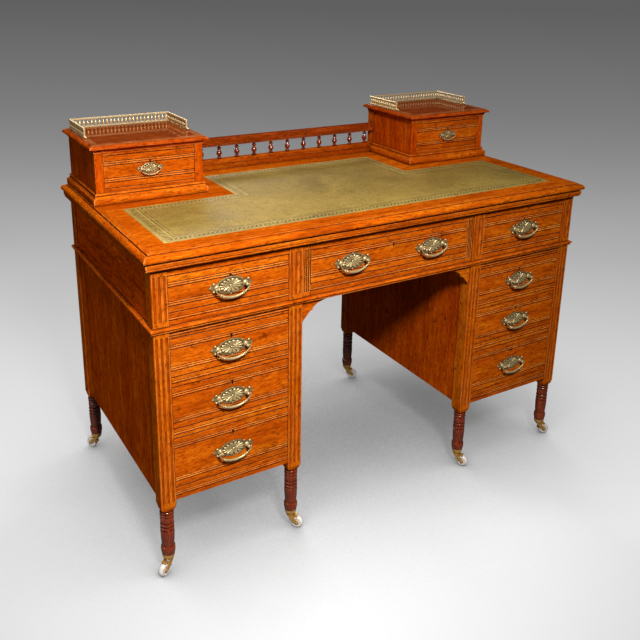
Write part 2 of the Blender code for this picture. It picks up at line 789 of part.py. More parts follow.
def handle_plate(name, x, z, face, brass, group):
    """An oval back plate with the two posts that carry the bail."""
    back = face - SEAT_GAP
    pivot = (x, back - HANDLE_REACH, z)
    outline = [(x + across, z + up) for across, up in plate_outline()]
    plate = along_y(name, outline, (back - PLATE_THICKNESS, back))
    join(plate, two_posts(1.0, pivot, back - BITE))
    cut(plate, pin_holes(1.0, (x, pivot[1] - BITE, z)))
    return keep(plate, name, brass, group, (x, back, z))


def bail(name, pivot, scale, brass, group):
    """A drop bail hanging from its pins, thickest in the middle of the grip."""
    pin = PIN_RADIUS * scale
    spread = HANDLE_SPREAD * scale
    half = spread + KNOB_RADIUS * scale + PIN_GAP + pin
    curve = bpy.data.curves.new(name, "CURVE")
    curve.dimensions = "3D"
    curve.bevel_depth = 1.0
    curve.bevel_resolution = 1
    curve.use_fill_caps = True
    path = [(-spread, 0.0, 0.0)]
    radii = [pin]
    for number in range(BAIL_POINTS):
        angle = math.pi * number / (BAIL_POINTS - 1)
        path.append((-half * math.cos(angle), 0.0, -BAIL_DROP * scale * math.sin(angle) ** BAIL_SQUARENESS))
        radii.append(pin + (BAIL_GRIP_RADIUS * scale - pin) * math.sin(angle) ** 2)
    path.append((spread, 0.0, 0.0))
    radii.append(pin)
    spline = polyline(curve, path, False)
    for point, radius in zip(spline.points, radii):
        point.radius = radius
    grip = turn_mesh(solid_curve(curve, name), Matrix.Translation(pivot))
    return keep(grip, name, brass, group, pivot)


def handle(stem_name, x, middle, brass, group):
    """A desk drawer's plate and bail, set a little below the middle of its front."""
    z = middle - HANDLE_DROP
    handle_plate(stem_name + "_plate", x, z, FACE, brass, group)
    pivot = (x, FACE - SEAT_GAP - HANDLE_REACH - BITE, z)
    bail(stem_name + "_bail", pivot, 1.0, brass, group)


def case_drawer(side_name, oak, brass, group):
    """A small drawer with the posts of its handle set in its front, and its bail."""
    side = SIDES[side_name]
    xs = mirrored(side, CASE_INNER + CASE_STILE, CASE_OUTER - CASE_STILE)
    level = (CASE_DRAWER_BOTTOM, CASE_DRAWER_BOTTOM + CASE_DRAWER)
    face = CASE_FRONT_Y + FACE_SETBACK
    x = (xs[0] + xs[1]) / 2
    z = (level[0] + level[1]) / 2
    name = side_name + "_case_drawer"
    body = drawer_solid(name, xs, level, face, CASE_BACK_Y - CASE_BACK - BITE)
    scale = SMALL_HANDLE_SCALE
    pivot = (x, face + BITE - HANDLE_REACH * scale, z)
    join(body, two_posts(scale, pivot, face + BITE))
    cut(body, pin_holes(scale, pivot))
    keep(body, name, oak, group, (x, face, z))
    bail(side_name + "_case_bail", pivot, scale, brass, group)


# Drawer cases and galleries


def moulded_box(name, xs, ys, zs, edge_height, width, segments):
    bm = bmesh.new()
    box(bm, xs, ys, zs)
    round_edges(bm, level_edge(edge_height), width, segments)
    return mesh_object(name, bm)


def widened(span, overhang):
    return span[0] - overhang, span[1] + overhang


def drawer_case(side_name, oak, group):
    """A small case with a moulded base, an opening for its drawer and a moulded lid."""
    side = SIDES[side_name]
    name = side_name + "_case"
    xs = mirrored(side, CASE_INNER, CASE_OUTER)
    ys = (CASE_FRONT_Y, CASE_BACK_Y)
    middle = boxes(name, (xs, ys, (CASE_BASE_TOP - CASE_BASE_HEIGHT / 2, CASE_TOP + BITE)))
    base_z = (BOARD_TOP + SEAT_GAP, CASE_BASE_TOP)
    out = CASE_BASE_OVERHANG
    base = moulded_box("base", widened(xs, out), widened(ys, out), base_z, CASE_BASE_TOP, CASE_BASE_COVE, 2)
    out = LID_OVERHANG
    lid_z = (CASE_TOP, LID_TOP)
    lid = moulded_box("lid", widened(xs, out), widened(ys, out), lid_z, LID_TOP, LID_ROUND, 2)
    join(middle, base, lid)
    room = (CASE_DRAWER_BOTTOM, CASE_DRAWER_BOTTOM + CASE_DRAWER)
    mouth_x = (xs[0] + CASE_STILE, xs[1] - CASE_STILE)
    cut(middle, boxes("mouth", (mouth_x, (CASE_FRONT_Y - BITE, CASE_BACK_Y - CASE_BACK), room)))
    face_z = (CASE_BASE_TOP, CASE_TOP)
    cut(middle, boxes("face", (mouth_x, (CASE_FRONT_Y - BITE, CASE_FRONT_Y + FACE_SETBACK), face_z)))
    return keep(middle, name, oak, group)


def rail_path(side_name):
    """The centre line of a brass gallery: front left, back left, back right, front right."""
    xs = mirrored(SIDES[side_name], CASE_INNER, CASE_OUTER)
    left, right = xs[0] + GALLERY_INSET, xs[1] - GALLERY_INSET
    back = CASE_BACK_Y - GALLERY_INSET
    front = back - GALLERY_SIDE_LENGTH
    return [(left, front), (left, back), (right, back), (right, front)]


def gallery_rail(name, side_name, zs):
    """A three-sided brass strip between two heights."""
    half = GALLERY_RAIL_WIDTH / 2
    (left, front), (_, back), (right, _), _ = rail_path(side_name)
    outline = []
    for out in (half, -half):
        x0, x1, y = left - out, right + out, back + out
        edge = [(x0, front), (x0, y), (x1, y), (x1, front)]
        outline += edge if out > 0 else reversed(edge)
    strip = slab(name, outline, zs[1] - zs[0])
    return turn_mesh(strip, Matrix.Translation((0, 0, (zs[0] + zs[1]) / 2)))


def baluster_places(side_name):
    """Even steps along each side of a gallery's centre line."""
    corners = [Vector((x, y, 0)) for x, y in rail_path(side_name)]
    places = []
    for start, end in zip(corners, corners[1:]):
        count = max(1, round((end - start).length / BALUSTER_PITCH))
        places += [start.lerp(end, (number + 0.5) / count) for number in range(count)]
    return places


def brass_gallery(side_name, brass, group):
    name = side_name + "_brass_gallery"
    bottom = LID_TOP + SEAT_GAP
    top = LID_TOP + GALLERY_HEIGHT
    sole_top = bottom + GALLERY_SOLE_HEIGHT
    rail_bottom = top - GALLERY_TOP_RAIL
    body = gallery_rail(name, side_name, (bottom, sole_top))

    middle = (sole_top + rail_bottom) / 2
    bite = GALLERY_SOLE_HEIGHT / 2
    baluster = [
        (0.0, rail_bottom + bite),
        (BALUSTER_WAIST, rail_bottom + bite),
        (BALUSTER_RADIUS, middle),
        (BALUSTER_WAIST, sole_top - bite),
        (0.0, sole_top - bite),
    ]
    finial = [
        (0.0, top + bite),
        (FINIAL_RADIUS / 2, top),
        (FINIAL_RADIUS, rail_bottom),
        (FINIAL_RADIUS / 2, rail_bottom - bite),
        (FINIAL_RADIUS / 2, sole_top + bite),
        (FINIAL_RADIUS, sole_top),
        (FINIAL_RADIUS, bottom),
        (0.0, bottom),
    ]
    rods = bmesh.new()
    pattern = take_mesh(turned("baluster", baluster, BALUSTER_SIDES))
    for place in baluster_places(side_name):
        stamp(rods, pattern, Matrix.Translation(place))
    ends = bmesh.new()
    pattern = take_mesh(turned("finial", finial, FINE_SIDES))
    path = rail_path(side_name)
    for x, y in (path[0], path[-1]):
        stamp(ends, pattern, Matrix.Translation((x, y - FINIAL_RADIUS / 2, 0)))
    rail = gallery_rail("rail", side_name, (rail_bottom, top))
    join(body, mesh_object("balusters", rods), rail, mesh_object("finials", ends))
    return keep(body, name, brass, group)


def spindle_gallery(oak, group):
    """Two rails with turned spindles, standing on the top between the cases."""
    bottom = BOARD_TOP + SEAT_GAP
    low = BOARD_TOP + SPINDLE_BOTTOM_RAIL
    high = low + SPINDLE_HEIGHT
    long = CASE_INNER - SEAT_GAP
    short = CASE_INNER - CASE_BASE_OVERHANG - SEAT_GAP
    ys = (RAIL_FRONT_Y, RAIL_BACK_Y)
    body = boxes("spindle_gallery", ((-short, short), ys, (bottom, low)))
    bead = high - SPINDLE_BEAD_DROP
    profile = [
        (0.0, high + BITE),
        (SPINDLE_NECK, high + BITE),
        (SPINDLE_NECK, bead + SPINDLE_BEAD_HALF),
        (SPINDLE_BEAD_RADIUS, bead),
        (SPINDLE_NECK, bead - SPINDLE_BEAD_HALF),
        (SPINDLE_RADIUS, low + SPINDLE_BULB_RISE),
        (SPINDLE_NECK, low + SPINDLE_BULB_RISE / 3),
        (SPINDLE_NECK, low - BITE),
        (0.0, low - BITE),
    ]
    pattern = take_mesh(turned("spindle", profile, FINE_SIDES))
    bm = bmesh.new()
    middle_y = (RAIL_FRONT_Y + RAIL_BACK_Y) / 2
    for number in range(SPINDLES):
        x = (number - (SPINDLES - 1) / 2) * SPINDLE_PITCH
        stamp(bm, pattern, Matrix.Translation((x, middle_y, 0)))
    rail = boxes("rail", ((-long, long), ys, (high, high + SPINDLE_TOP_RAIL)))
    join(body, mesh_object("spindles", bm), rail)
    return keep(body, "spindle_gallery", oak, group)


# Casters


def caster_fork(name, place, trail, brass, group):
    """A brass horn that turns on a peg in the foot and holds the axle behind it, trailing along +X."""
    top = -SEAT_GAP
    bottom = top - SWIVEL_THICKNESS
    profile = [
        (0.0, PEG_LENGTH),
        (PEG_RADIUS, PEG_LENGTH),
        (PEG_RADIUS, top),
        (SWIVEL_RADIUS, top),
        (SWIVEL_RADIUS, bottom),
        (0.0, bottom),
    ]
    fork = turned(name, profile, FOOT_SIDES)
    axle_z = WHEEL_RADIUS - CASTER_HEIGHT
    root_z = bottom + SWIVEL_THICKNESS / 2
    outline = [(FORK_ROOT_FRONT, root_z), (-FORK_ROOT_BACK, root_z)]
    for number in range(CURVE_STEPS + 1):
        angle = math.radians(FORK_EYE_START + FORK_EYE_SWEEP * number / CURVE_STEPS)
        across = WHEEL_TRAIL + FORK_EYE_RADIUS * math.cos(angle)
        outline.append((across, axle_z + FORK_EYE_RADIUS * math.sin(angle)))
    inner = WHEEL_WIDTH / 2 + FORK_GAP
    for side in SIDES.values():
        join(fork, along_y("arm", outline, mirrored(side, inner, inner + FORK_ARM)))
    bm = bmesh.new()
    across = Matrix.Translation((WHEEL_TRAIL, 0, axle_z)) @ Matrix.Rotation(math.radians(90), 4, "X")
    length = 2 * inner + FORK_ARM
    rod(bm, AXLE_RADIUS, length, across)
    join(fork, mesh_object("axle", bm))
    keep(fork, name, brass, group)
    fork.location = (*place, CASTER_HEIGHT)
    fork.rotation_euler = (0.0, 0.0, math.radians(trail))
    return fork


def caster_wheel(name, fork, porcelain, group):
    """A crowned porcelain wheel, bored for the axle."""
    half = WHEEL_WIDTH / 2
    edge = WHEEL_RADIUS - WHEEL_CROWN
    bore = AXLE_RADIUS + FORK_GAP
    profile = [
        (bore, half),
        (edge, half),
        (WHEEL_RADIUS, half / 3),
        (WHEEL_RADIUS, -half / 3),
        (edge, -half),
        (bore, -half),
        (bore, half),
    ]
    wheel = turned(name, profile, WHEEL_SIDES)
    turn_mesh(wheel, Matrix.Rotation(math.radians(90), 4, "X"))
    keep(wheel, name, porcelain, group)
    wheel.parent = fork
    wheel.location = (WHEEL_TRAIL, 0.0, WHEEL_RADIUS - CASTER_HEIGHT)
    return wheel


def casters(side_name, brass, porcelain, group):
    for corner, place in foot_places(SIDES[side_name]).items():
        across, depth = corner.split("_")
        front_trail, back_trail = CASTER_TRAILS[side_name + "_" + across]
        trail = front_trail if depth == "front" else back_trail
        name = side_name + "_" + corner
        fork = caster_fork(name + "_caster_fork", place, trail, brass, group)
        caster_wheel(name + "_caster_wheel", fork, porcelain, group)


# Assembly


def desk_drawers(oak, brass, group):
    """The frieze and pedestal drawers with their handles."""
    frieze = (FRIEZE_DRAWER_BOTTOM, FRIEZE_DRAWER_TOP)
    frieze_back = BACK - FRIEZE_BACK - DRAWER_BACK_SPACE
    frieze_z = (frieze[0] + frieze[1]) / 2
    drawer("centre_frieze_drawer", (-CENTRE_HALF, CENTRE_HALF), frieze, FACE, frieze_back, oak, group)
    for side_name, side in SIDES.items():
        handle("centre_frieze_" + side_name, side * CENTRE_HANDLE_X, frieze_z, brass, group)
        xs = mirrored(side, OPENING_INNER, OPENING_OUTER)
        x = (xs[0] + xs[1]) / 2
        drawer(side_name + "_frieze_drawer", xs, frieze, FACE, frieze_back, oak, group)
        handle(side_name + "_frieze", x, frieze_z, brass, group)
        back = BACK - PANEL_RECESS - PANEL_THICKNESS - DRAWER_BACK_SPACE
        for place, level in zip(("lower", "middle", "upper"), pedestal_levels()):
            name = side_name + "_" + place
            drawer(name + "_drawer", xs, level, FACE, back, oak, group)
            handle(name, x, (level[0] + level[1]) / 2, brass, group)


def build():
    clear_scene()
    group = make_collection("kneehole_desk")
    oak = finish_material("polished_oak", OAK)
    dark_oak = finish_material("dark_oak", DARK_OAK)
    leather = finish_material("green_leather", LEATHER)
    brass = finish_material("brass", BRASS)
    porcelain = finish_material("porcelain", PORCELAIN)

    top_board(oak, group)
    leather_inset(leather, group)
    frieze_carcass(oak, group)
    waist_moulding(oak, group)
    spindle_gallery(dark_oak, group)
    desk_drawers(oak, brass, group)
    for side_name in SIDES:
        pedestal(side_name, oak, group)
        drawer_case(side_name, oak, group)
        case_drawer(side_name, oak, brass, group)
        brass_gallery(side_name, brass, group)
        casters(side_name, brass, porcelain, group)


build()
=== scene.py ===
import json
import math

import bmesh
import bpy
from mathutils import Matrix, Vector

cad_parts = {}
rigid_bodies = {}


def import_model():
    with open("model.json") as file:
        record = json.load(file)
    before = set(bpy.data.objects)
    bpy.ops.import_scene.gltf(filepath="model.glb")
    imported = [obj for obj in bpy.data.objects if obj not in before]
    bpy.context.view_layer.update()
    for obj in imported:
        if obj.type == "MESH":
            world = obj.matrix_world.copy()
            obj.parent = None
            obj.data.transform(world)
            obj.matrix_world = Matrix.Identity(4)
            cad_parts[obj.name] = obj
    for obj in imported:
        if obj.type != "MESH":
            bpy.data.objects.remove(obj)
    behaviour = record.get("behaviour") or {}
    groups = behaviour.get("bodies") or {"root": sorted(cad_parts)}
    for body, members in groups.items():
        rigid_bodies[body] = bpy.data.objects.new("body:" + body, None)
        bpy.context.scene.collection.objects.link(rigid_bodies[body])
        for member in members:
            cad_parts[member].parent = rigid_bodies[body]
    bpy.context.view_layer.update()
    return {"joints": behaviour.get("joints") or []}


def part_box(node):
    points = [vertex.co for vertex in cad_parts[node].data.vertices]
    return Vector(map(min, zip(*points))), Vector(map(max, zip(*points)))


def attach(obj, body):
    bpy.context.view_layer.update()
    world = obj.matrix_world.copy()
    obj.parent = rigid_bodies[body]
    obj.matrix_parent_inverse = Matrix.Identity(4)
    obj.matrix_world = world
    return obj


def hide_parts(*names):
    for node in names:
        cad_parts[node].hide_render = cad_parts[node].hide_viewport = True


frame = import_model()

# Sizes read from the frame, in metres. +X is right along the front, +Y is to the back.
TOP_LOW, TOP_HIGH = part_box("top_board")
FRIEZE_LOW, FRIEZE_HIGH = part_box("frieze_carcass")
WAIST_LOW, WAIST_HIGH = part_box("waist_moulding")
LEATHER_LOW, LEATHER_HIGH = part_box("leather_inset")
BODY_HALF = FRIEZE_HIGH.x
FRONT = FRIEZE_LOW.y
BACK = FRIEZE_HIGH.y
BOARD_TOP = TOP_HIGH.z

# Joinery
GAP = 0.0003
SETBACK = 0.002
POST = 0.035
POST_EASE = 0.0012
PEDESTAL_WIDTH = 0.347
PEDESTAL_BOTTOM = 0.190
PEDESTAL_TOP = WAIST_LOW.z - GAP
KNEE_HALF = BODY_HALF - PEDESTAL_WIDTH
OPENING_IN = KNEE_HALF + POST
OPENING_OUT = BODY_HALF - POST
STRIP = 0.020
FACE = FRONT + SETBACK
PANEL_RECESS = 0.003
PANEL = 0.012
WALL = PANEL_RECESS + PANEL
RAIL_DEPTH = 0.033
EASE = 0.0009
SIDES = {"left": -1, "right": 1}
LEVELS = ("lower", "middle", "upper")
POST_MIDDLES = (BODY_HALF - POST / 2, KNEE_HALF + POST / 2)
FRONT_POSTS = [(side * x, FRONT) for side in SIDES.values() for x in POST_MIDDLES]

# Angle between faces, in degrees, past which an edge stays sharp, and the radius taken as on the axis
SMOOTH = 32
ON_AXIS = 1e-6


# Mesh building


def add_verts(bm, points):
    return [bm.verts.new(p) for p in points]


def board(bm, low, high, ease=EASE):
    """A board with its edges eased by a small flat."""
    low, high = Vector(low), Vector(high)
    matrix = Matrix.Translation((low + high) / 2) @ Matrix.Diagonal((*(high - low), 1))
    made = bmesh.ops.create_cube(bm, size=1.0, matrix=matrix)["verts"]
    edges = {edge for vert in made for edge in vert.link_edges}
    if ease > 0:
        bmesh.ops.bevel(bm, geom=list(edges), offset=ease, segments=1, affect="EDGES")


def loft(bm, sections, close=False):
    """Skin closed sections of equal length. Open lofts get caps."""
    rings = [add_verts(bm, section) for section in sections]
    pairs = list(zip(rings, rings[1:]))
    if close:
        pairs.append((rings[-1], rings[0]))
    count = len(rings[0])
    for a, b in pairs:
        for i in range(count):
            j = (i + 1) % count
            bm.faces.new((a[i], a[j], b[j], b[i]))
    if not close:
        bm.faces.new(list(reversed(rings[0])))
        bm.faces.new(rings[-1])


def prism_x(bm, outline, xs):
    """An outline in (Y, Z) carried along X."""
    loft(bm, [[(x, y, z) for y, z in outline] for x in xs])


def prism_y(bm, outline, ys):
    """An outline in (X, Z) carried along Y."""
    loft(bm, [[(x, y, z) for x, z in outline] for y in ys])


def mitred(bm, section, corner_a, corner_b, out_a, out_b):
    """A moulding of section (out, z) between two corners. Out runs along each corner's mitre."""
    rows = []
    for corner, out in ((corner_a, out_a), (corner_b, out_b)):
        rows.append([(corner[0] + o * out[0], corner[1] + o * out[1], z) for o, z in section])
    loft(bm, rows)


def circle(radius, height, steps):
    """Points round Z at one height."""
    angles = [math.tau * i / steps for i in range(steps)]
    return [Vector((radius * math.cos(a), radius * math.sin(a), height)) for a in angles]


def lathe(bm, profile, steps, matrix=Matrix()):
    """Turn (radius, height) points about Z. Ends on the axis close the form."""
    rings = []
    for radius, height in profile:
        points = [Vector((0, 0, height))] if radius < ON_AXIS else circle(radius, height, steps)
        rings.append(add_verts(bm, [matrix @ point for point in points]))
    for a, b in zip(rings, rings[1:]):
        for i in range(steps):
            j = (i + 1) % steps
            quad = [a[i % len(a)], a[j % len(a)], b[j % len(b)], b[i % len(b)]]
            bm.faces.new(list(dict.fromkeys(quad)))


def arc(cx, cz, radius, start, end, steps, rise=None):
    """Points of a round stretch, angles in degrees. A rise makes it an ellipse of that height."""
    rise = radius if rise is None else rise
    angles = [math.radians(start + (end - start) * i / steps) for i in range(steps + 1)]
    return [(cx + radius * math.cos(a), cz + rise * math.sin(a)) for a in angles]


def bead(radius, core, middle, half, steps=6):
    """A round bead on a turned profile, listed from the top down."""
    return arc(core, middle, radius - core, 90, -90, steps, half)


def tube(bm, path, radii, sides):
    """A round bar along a path that lies in the XZ plane."""
    across = Vector((0, 1, 0))
    sections = []
    for i, point in enumerate(path):
        before = path[max(i - 1, 0)]
        after = path[min(i + 1, len(path) - 1)]
        up = (after - before).normalized().cross(across)
        ring = []
        for k in range(sides):
            angle = math.tau * k / sides
            ring.append(point + radii[i] * (math.cos(angle) * up + math.sin(angle) * across))
        sections.append(ring)
    loft(bm, sections)


def smoothed(mesh, degrees=SMOOTH):
    mesh.shade_smooth()
    mesh.set_sharp_from_angle(angle=math.radians(degrees))
    return mesh


def finish_mesh(name, bm, smooth=SMOOTH):
    bmesh.ops.recalc_face_normals(bm, faces=bm.faces)
    mesh = bpy.data.meshes.new(name)
    bm.to_mesh(mesh)
    bm.free()
    return smoothed(mesh, smooth)


def add_object(name, data):
    obj = bpy.data.objects.new(name, data)
    bpy.context.scene.collection.objects.link(obj)
    return obj


def place(name, mesh, material, slot, body, nodes=(), location=(0, 0, 0), rotation=(0, 0, 0)):
    """Put a finished mesh on a body, in place of CAD nodes where it stands for them."""
    obj = add_object(name, mesh)
    if not mesh.materials:
        mesh.materials.append(material)
    obj.location = location
    obj.rotation_euler = rotation
    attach(obj, body)
    if nodes:
        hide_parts(*nodes)
    return obj


def piece(name, bm, material, slot, body, nodes=(), smooth=SMOOTH):
    return place(name, finish_mesh(name, bm, smooth), material, slot, body, nodes)


def carve(mesh, cutter):
    """The mesh with a cutter mesh taken out of it."""
    body = add_object("carved", mesh)
    tool = add_object("cutter", cutter)
    step = body.modifiers.new("Cut", "BOOLEAN")
    step.solver = "EXACT"
    step.object = tool
    graph = bpy.context.evaluated_depsgraph_get()
    made = bpy.data.meshes.new_from_object(body.evaluated_get(graph))
    for obj in (body, tool):
        bpy.data.objects.remove(obj)
    return smoothed(made)


def mirrored(side, near, far):
    """An X range on one side of the middle, lower end first."""
    return sorted((side * near, side * far))


def span(side, near, far, ys, zs):
    """The low and high corners of a board, its X range mirrored to one side."""
    x0, x1 = mirrored(side, near, far)
    return (x0, ys[0], zs[0]), (x1, ys[1], zs[1])


# Materials


class Graph:
    """A material's node tree with short calls for making and wiring nodes."""

    def __init__(self, name):
        self.material = bpy.data.materials.new(name)
        self.material.use_nodes = True
        self.tree = self.material.node_tree
        self.shader = self.tree.nodes["Principled BSDF"]

    def add(self, kind, **values):
        """A new node with settings and sockets set by name. An underscore stands for a space."""
        node = self.tree.nodes.new(kind)
        for key, value in values.items():
            if hasattr(node, key):
                setattr(node, key, value)
            else:
                node.inputs[key.replace("_", " ")].default_value = value
        return node

    def wire(self, source, target, socket):
        self.tree.links.new(source, target.inputs[socket])

    def feed(self, node, socket, value):
        """Wire an output to a socket, or set the socket to a plain value."""
        if hasattr(value, "is_output"):
            self.wire(value, node, socket)
        else:
            node.inputs[socket].default_value = value

    def ramp(self, source, stops):
        node = self.add("ShaderNodeValToRGB")
        elements = node.color_ramp.elements
        while len(elements) < len(stops):
            elements.new(0.5)
        for element, (position, colour) in zip(elements, stops):
            element.position = position
            element.color = (*colour, 1)
        self.wire(source, node, "Fac")
        return node.outputs["Color"]

    def grey(self, source, low, high, start=0.0, end=1.0):
        node = self.add("ShaderNodeMapRange", From_Min=start, From_Max=end, To_Min=low, To_Max=high)
        self.wire(source, node, "Value")
        return node.outputs["Result"]

    def mix(self, factor, a, b):
        """The colour a, passing to b as the factor rises."""
        node = self.add("ShaderNodeMix", data_type="RGBA")
        self.feed(node, 0, factor)
        for socket, colour in ((6, a), (7, b)):
            self.feed(node, socket, colour if hasattr(colour, "is_output") else (*colour, 1))
        return node.outputs[2]

    def math(self, operation, a, b):
        node = self.add("ShaderNodeMath", operation=operation)
        self.feed(node, 0, a)
        self.feed(node, 1, b)
        return node.outputs["Value"]

    def vector(self, operation, a, b):
        node = self.add("ShaderNodeVectorMath", operation=operation)
        self.feed(node, 0, a)
        self.feed(node, 1, b)
        return node.outputs

    def coords(self, scale=(1, 1, 1), seed=True):
        """Object coordinates, shifted for each board by its seed and stretched."""
        place = self.add("ShaderNodeTexCoord").outputs["Object"]
        if seed:
            shift = self.add("ShaderNodeAttribute", attribute_name="board_seed").outputs["Vector"]
            place = self.vector("ADD", place, shift)["Vector"]
        return self.vector("MULTIPLY", place, scale)["Vector"]

    def noise(self, vector, scale, detail=4.0, roughness=0.55, distortion=0.0):
        node = self.add(
            "ShaderNodeTexNoise", Scale=scale, Detail=detail, Roughness=roughness, Distortion=distortion)
        self.wire(vector, node, "Vector")
        return node.outputs["Fac"]

    def cloud(self, *shape):
        """Noise in the piece's own coordinates."""
        return self.noise(self.coords(seed=False), *shape)

    def hollows(self, distance, samples=4, inside=False):
        """1 in the open, falling in grooves and corners, or inside the solid near its own edges."""
        node = self.add("ShaderNodeAmbientOcclusion", samples=samples, inside=inside, Distance=distance)
        return node.outputs["AO"]

    def edges(self, distance):
        """1 on outer edges, 0 on open faces."""
        return self.grey(self.hollows(distance, inside=True), 1.0, 0.0, 0.55, 0.95)

    def bump(self, height, strength, distance):
        node = self.add("ShaderNodeBump", Strength=strength, Distance=distance)
        self.wire(height, node, "Height")
        self.wire(node.outputs["Normal"], self.shader, "Normal")

    def set(self, **values):
        for key, value in values.items():
            self.shader.inputs[key.replace("_", " ")].default_value = value


# rubbed sets how far the outer edges are lifted pale: partly wear, partly painted highlight.
def wood(name, grain, stops, gloss=(0.30, 0.50), polish=(0.0, 0.15, 1.5), rubbed=0.75):
    """Polished wood: figure and flecks along one axis, stains, painted shade in the hollows and corners,
    edges paler from wear and painted highlight.
    """
    g = Graph(name)
    long_axis = "XYZ".index(grain)

    def along(across, length):
        scale = [across] * 3
        scale[long_axis] = length
        return g.coords(scale)

    def darker(stop, share):
        return [c * share for c in stops[stop][1]]

    figure = g.noise(along(13.0, 1.3), 1.0, 5.0, 0.62, 1.4)
    streak = g.noise(along(90.0, 9.0), 1.0, 5.0, 0.65, 0.8)
    mottle = g.noise(along(75.0, 26.0), 1.0, 5.0, 0.72, 0.6)
    fleck = g.noise(along(270.0, 70.0), 1.0, 3.0, 0.6)
    pores = g.noise(along(620.0, 45.0), 1.0, 2.0, 0.6)
    blend = g.math("MULTIPLY", figure, 0.36)
    for layer in (streak, mottle):
        blend = g.math("ADD", blend, g.math("MULTIPLY", layer, 0.32))
    colour = g.ramp(g.grey(blend, 0.0, 1.0, 0.37, 0.63), stops)
    colour = g.mix(g.grey(fleck, 0.0, 0.78, 0.50, 0.68), colour, darker(0, 0.66))
    colour = g.mix(g.grey(pores, 0.0, 0.65, 0.56, 0.72), colour, darker(0, 0.26))
    patch = g.noise(g.coords(), 9.0, 5.0, 0.68)
    colour = g.mix(g.grey(patch, 0.0, 0.55, 0.50, 0.74), colour, darker(1, 0.55))
    stain = g.noise(g.coords(), 42.0, 3.0, 0.6)
    colour = g.mix(g.grey(stain, 0.0, 0.80, 0.64, 0.75), colour, darker(0, 0.20))
    rub = g.noise(g.coords(), 24.0, 4.0)
    # Outer edges lifted towards pale gold: partly wear, partly painted highlight.
    edge_wear_and_highlight = g.math("MULTIPLY", g.edges(0.0022), g.grey(rub, 0.0, rubbed, 0.38, 0.60))
    colour = g.mix(edge_wear_and_highlight, colour, [c + WEAR_AND_HIGHLIGHT_LIFT * (w - c) for c, w in zip(stops[3][1], WEAR_AND_HIGHLIGHT)])
    # Painted shade: darker in the hollows and corners, and near black in the finest crevices.
    colour = g.mix(g.grey(g.hollows(0.018), 0.62, 0.0, 0.35, 0.82), colour, darker(0, 0.30))
    colour = g.mix(g.grey(g.hollows(0.004), 0.95, 0.0, 0.30, 0.86), colour, (0.030, 0.0030, 0.0005))
    g.wire(colour, g.shader, "Base Color")
    g.wire(g.grey(rub, gloss[0], gloss[1], 0.3, 0.7), g.shader, "Roughness")
    g.bump(g.math("ADD", pores, g.math("MULTIPLY", fleck, 0.6)), 0.18, 0.0004)
    g.set(Coat_Weight=polish[0], Coat_Roughness=polish[1], Coat_IOR=polish[2], Specular_IOR_Level=0.0)
    return g.material


# The pale gold that outer edges are lifted towards, and how far: partly wear, partly painted highlight.
WEAR_AND_HIGHLIGHT = (1.0, 0.75, 0.35)
WEAR_AND_HIGHLIGHT_LIFT = 0.14
OAK_STOPS = (
    (0.00, (0.300, 0.038, 0.0010)),
    (0.35, (0.530, 0.082, 0.0018)),
    (0.65, (0.670, 0.126, 0.0028)),
    (1.00, (0.800, 0.225, 0.0080)),
)
DARK_STOPS = (
    (0.00, (0.110, 0.012, 0.0012)),
    (0.35, (0.230, 0.030, 0.0025)),
    (0.65, (0.330, 0.046, 0.0040)),
    (1.00, (0.460, 0.080, 0.0080)),
)
LID_STOPS = (
    (0.00, (0.180, 0.028, 0.0020)),
    (0.35, (0.270, 0.046, 0.0035)),
    (0.65, (0.340, 0.062, 0.0050)),
    (1.00, (0.430, 0.088, 0.0080)),
)
PALE_STOPS = (
    (0.00, (0.260, 0.150, 0.065)),
    (0.35, (0.380, 0.235, 0.105)),
    (0.65, (0.450, 0.290, 0.140)),
    (1.00, (0.540, 0.370, 0.200)),
)
# Dark wax for the quirks beside the reeds, dark enough to stand for their shade: wax and painted shade.
WAX_AND_SHADE_STOPS = (
    (0.00, (0.052, 0.0042, 0.0008)),
    (0.35, (0.090, 0.0078, 0.0011)),
    (0.65, (0.122, 0.0112, 0.0016)),
    (1.00, (0.170, 0.0180, 0.0022)),
)


def toned(stops, red, green, blue):
    """The same wood with each colour raised or lowered."""
    return [(at, (r * red, g * green, b * blue)) for at, (r, g, b) in stops]


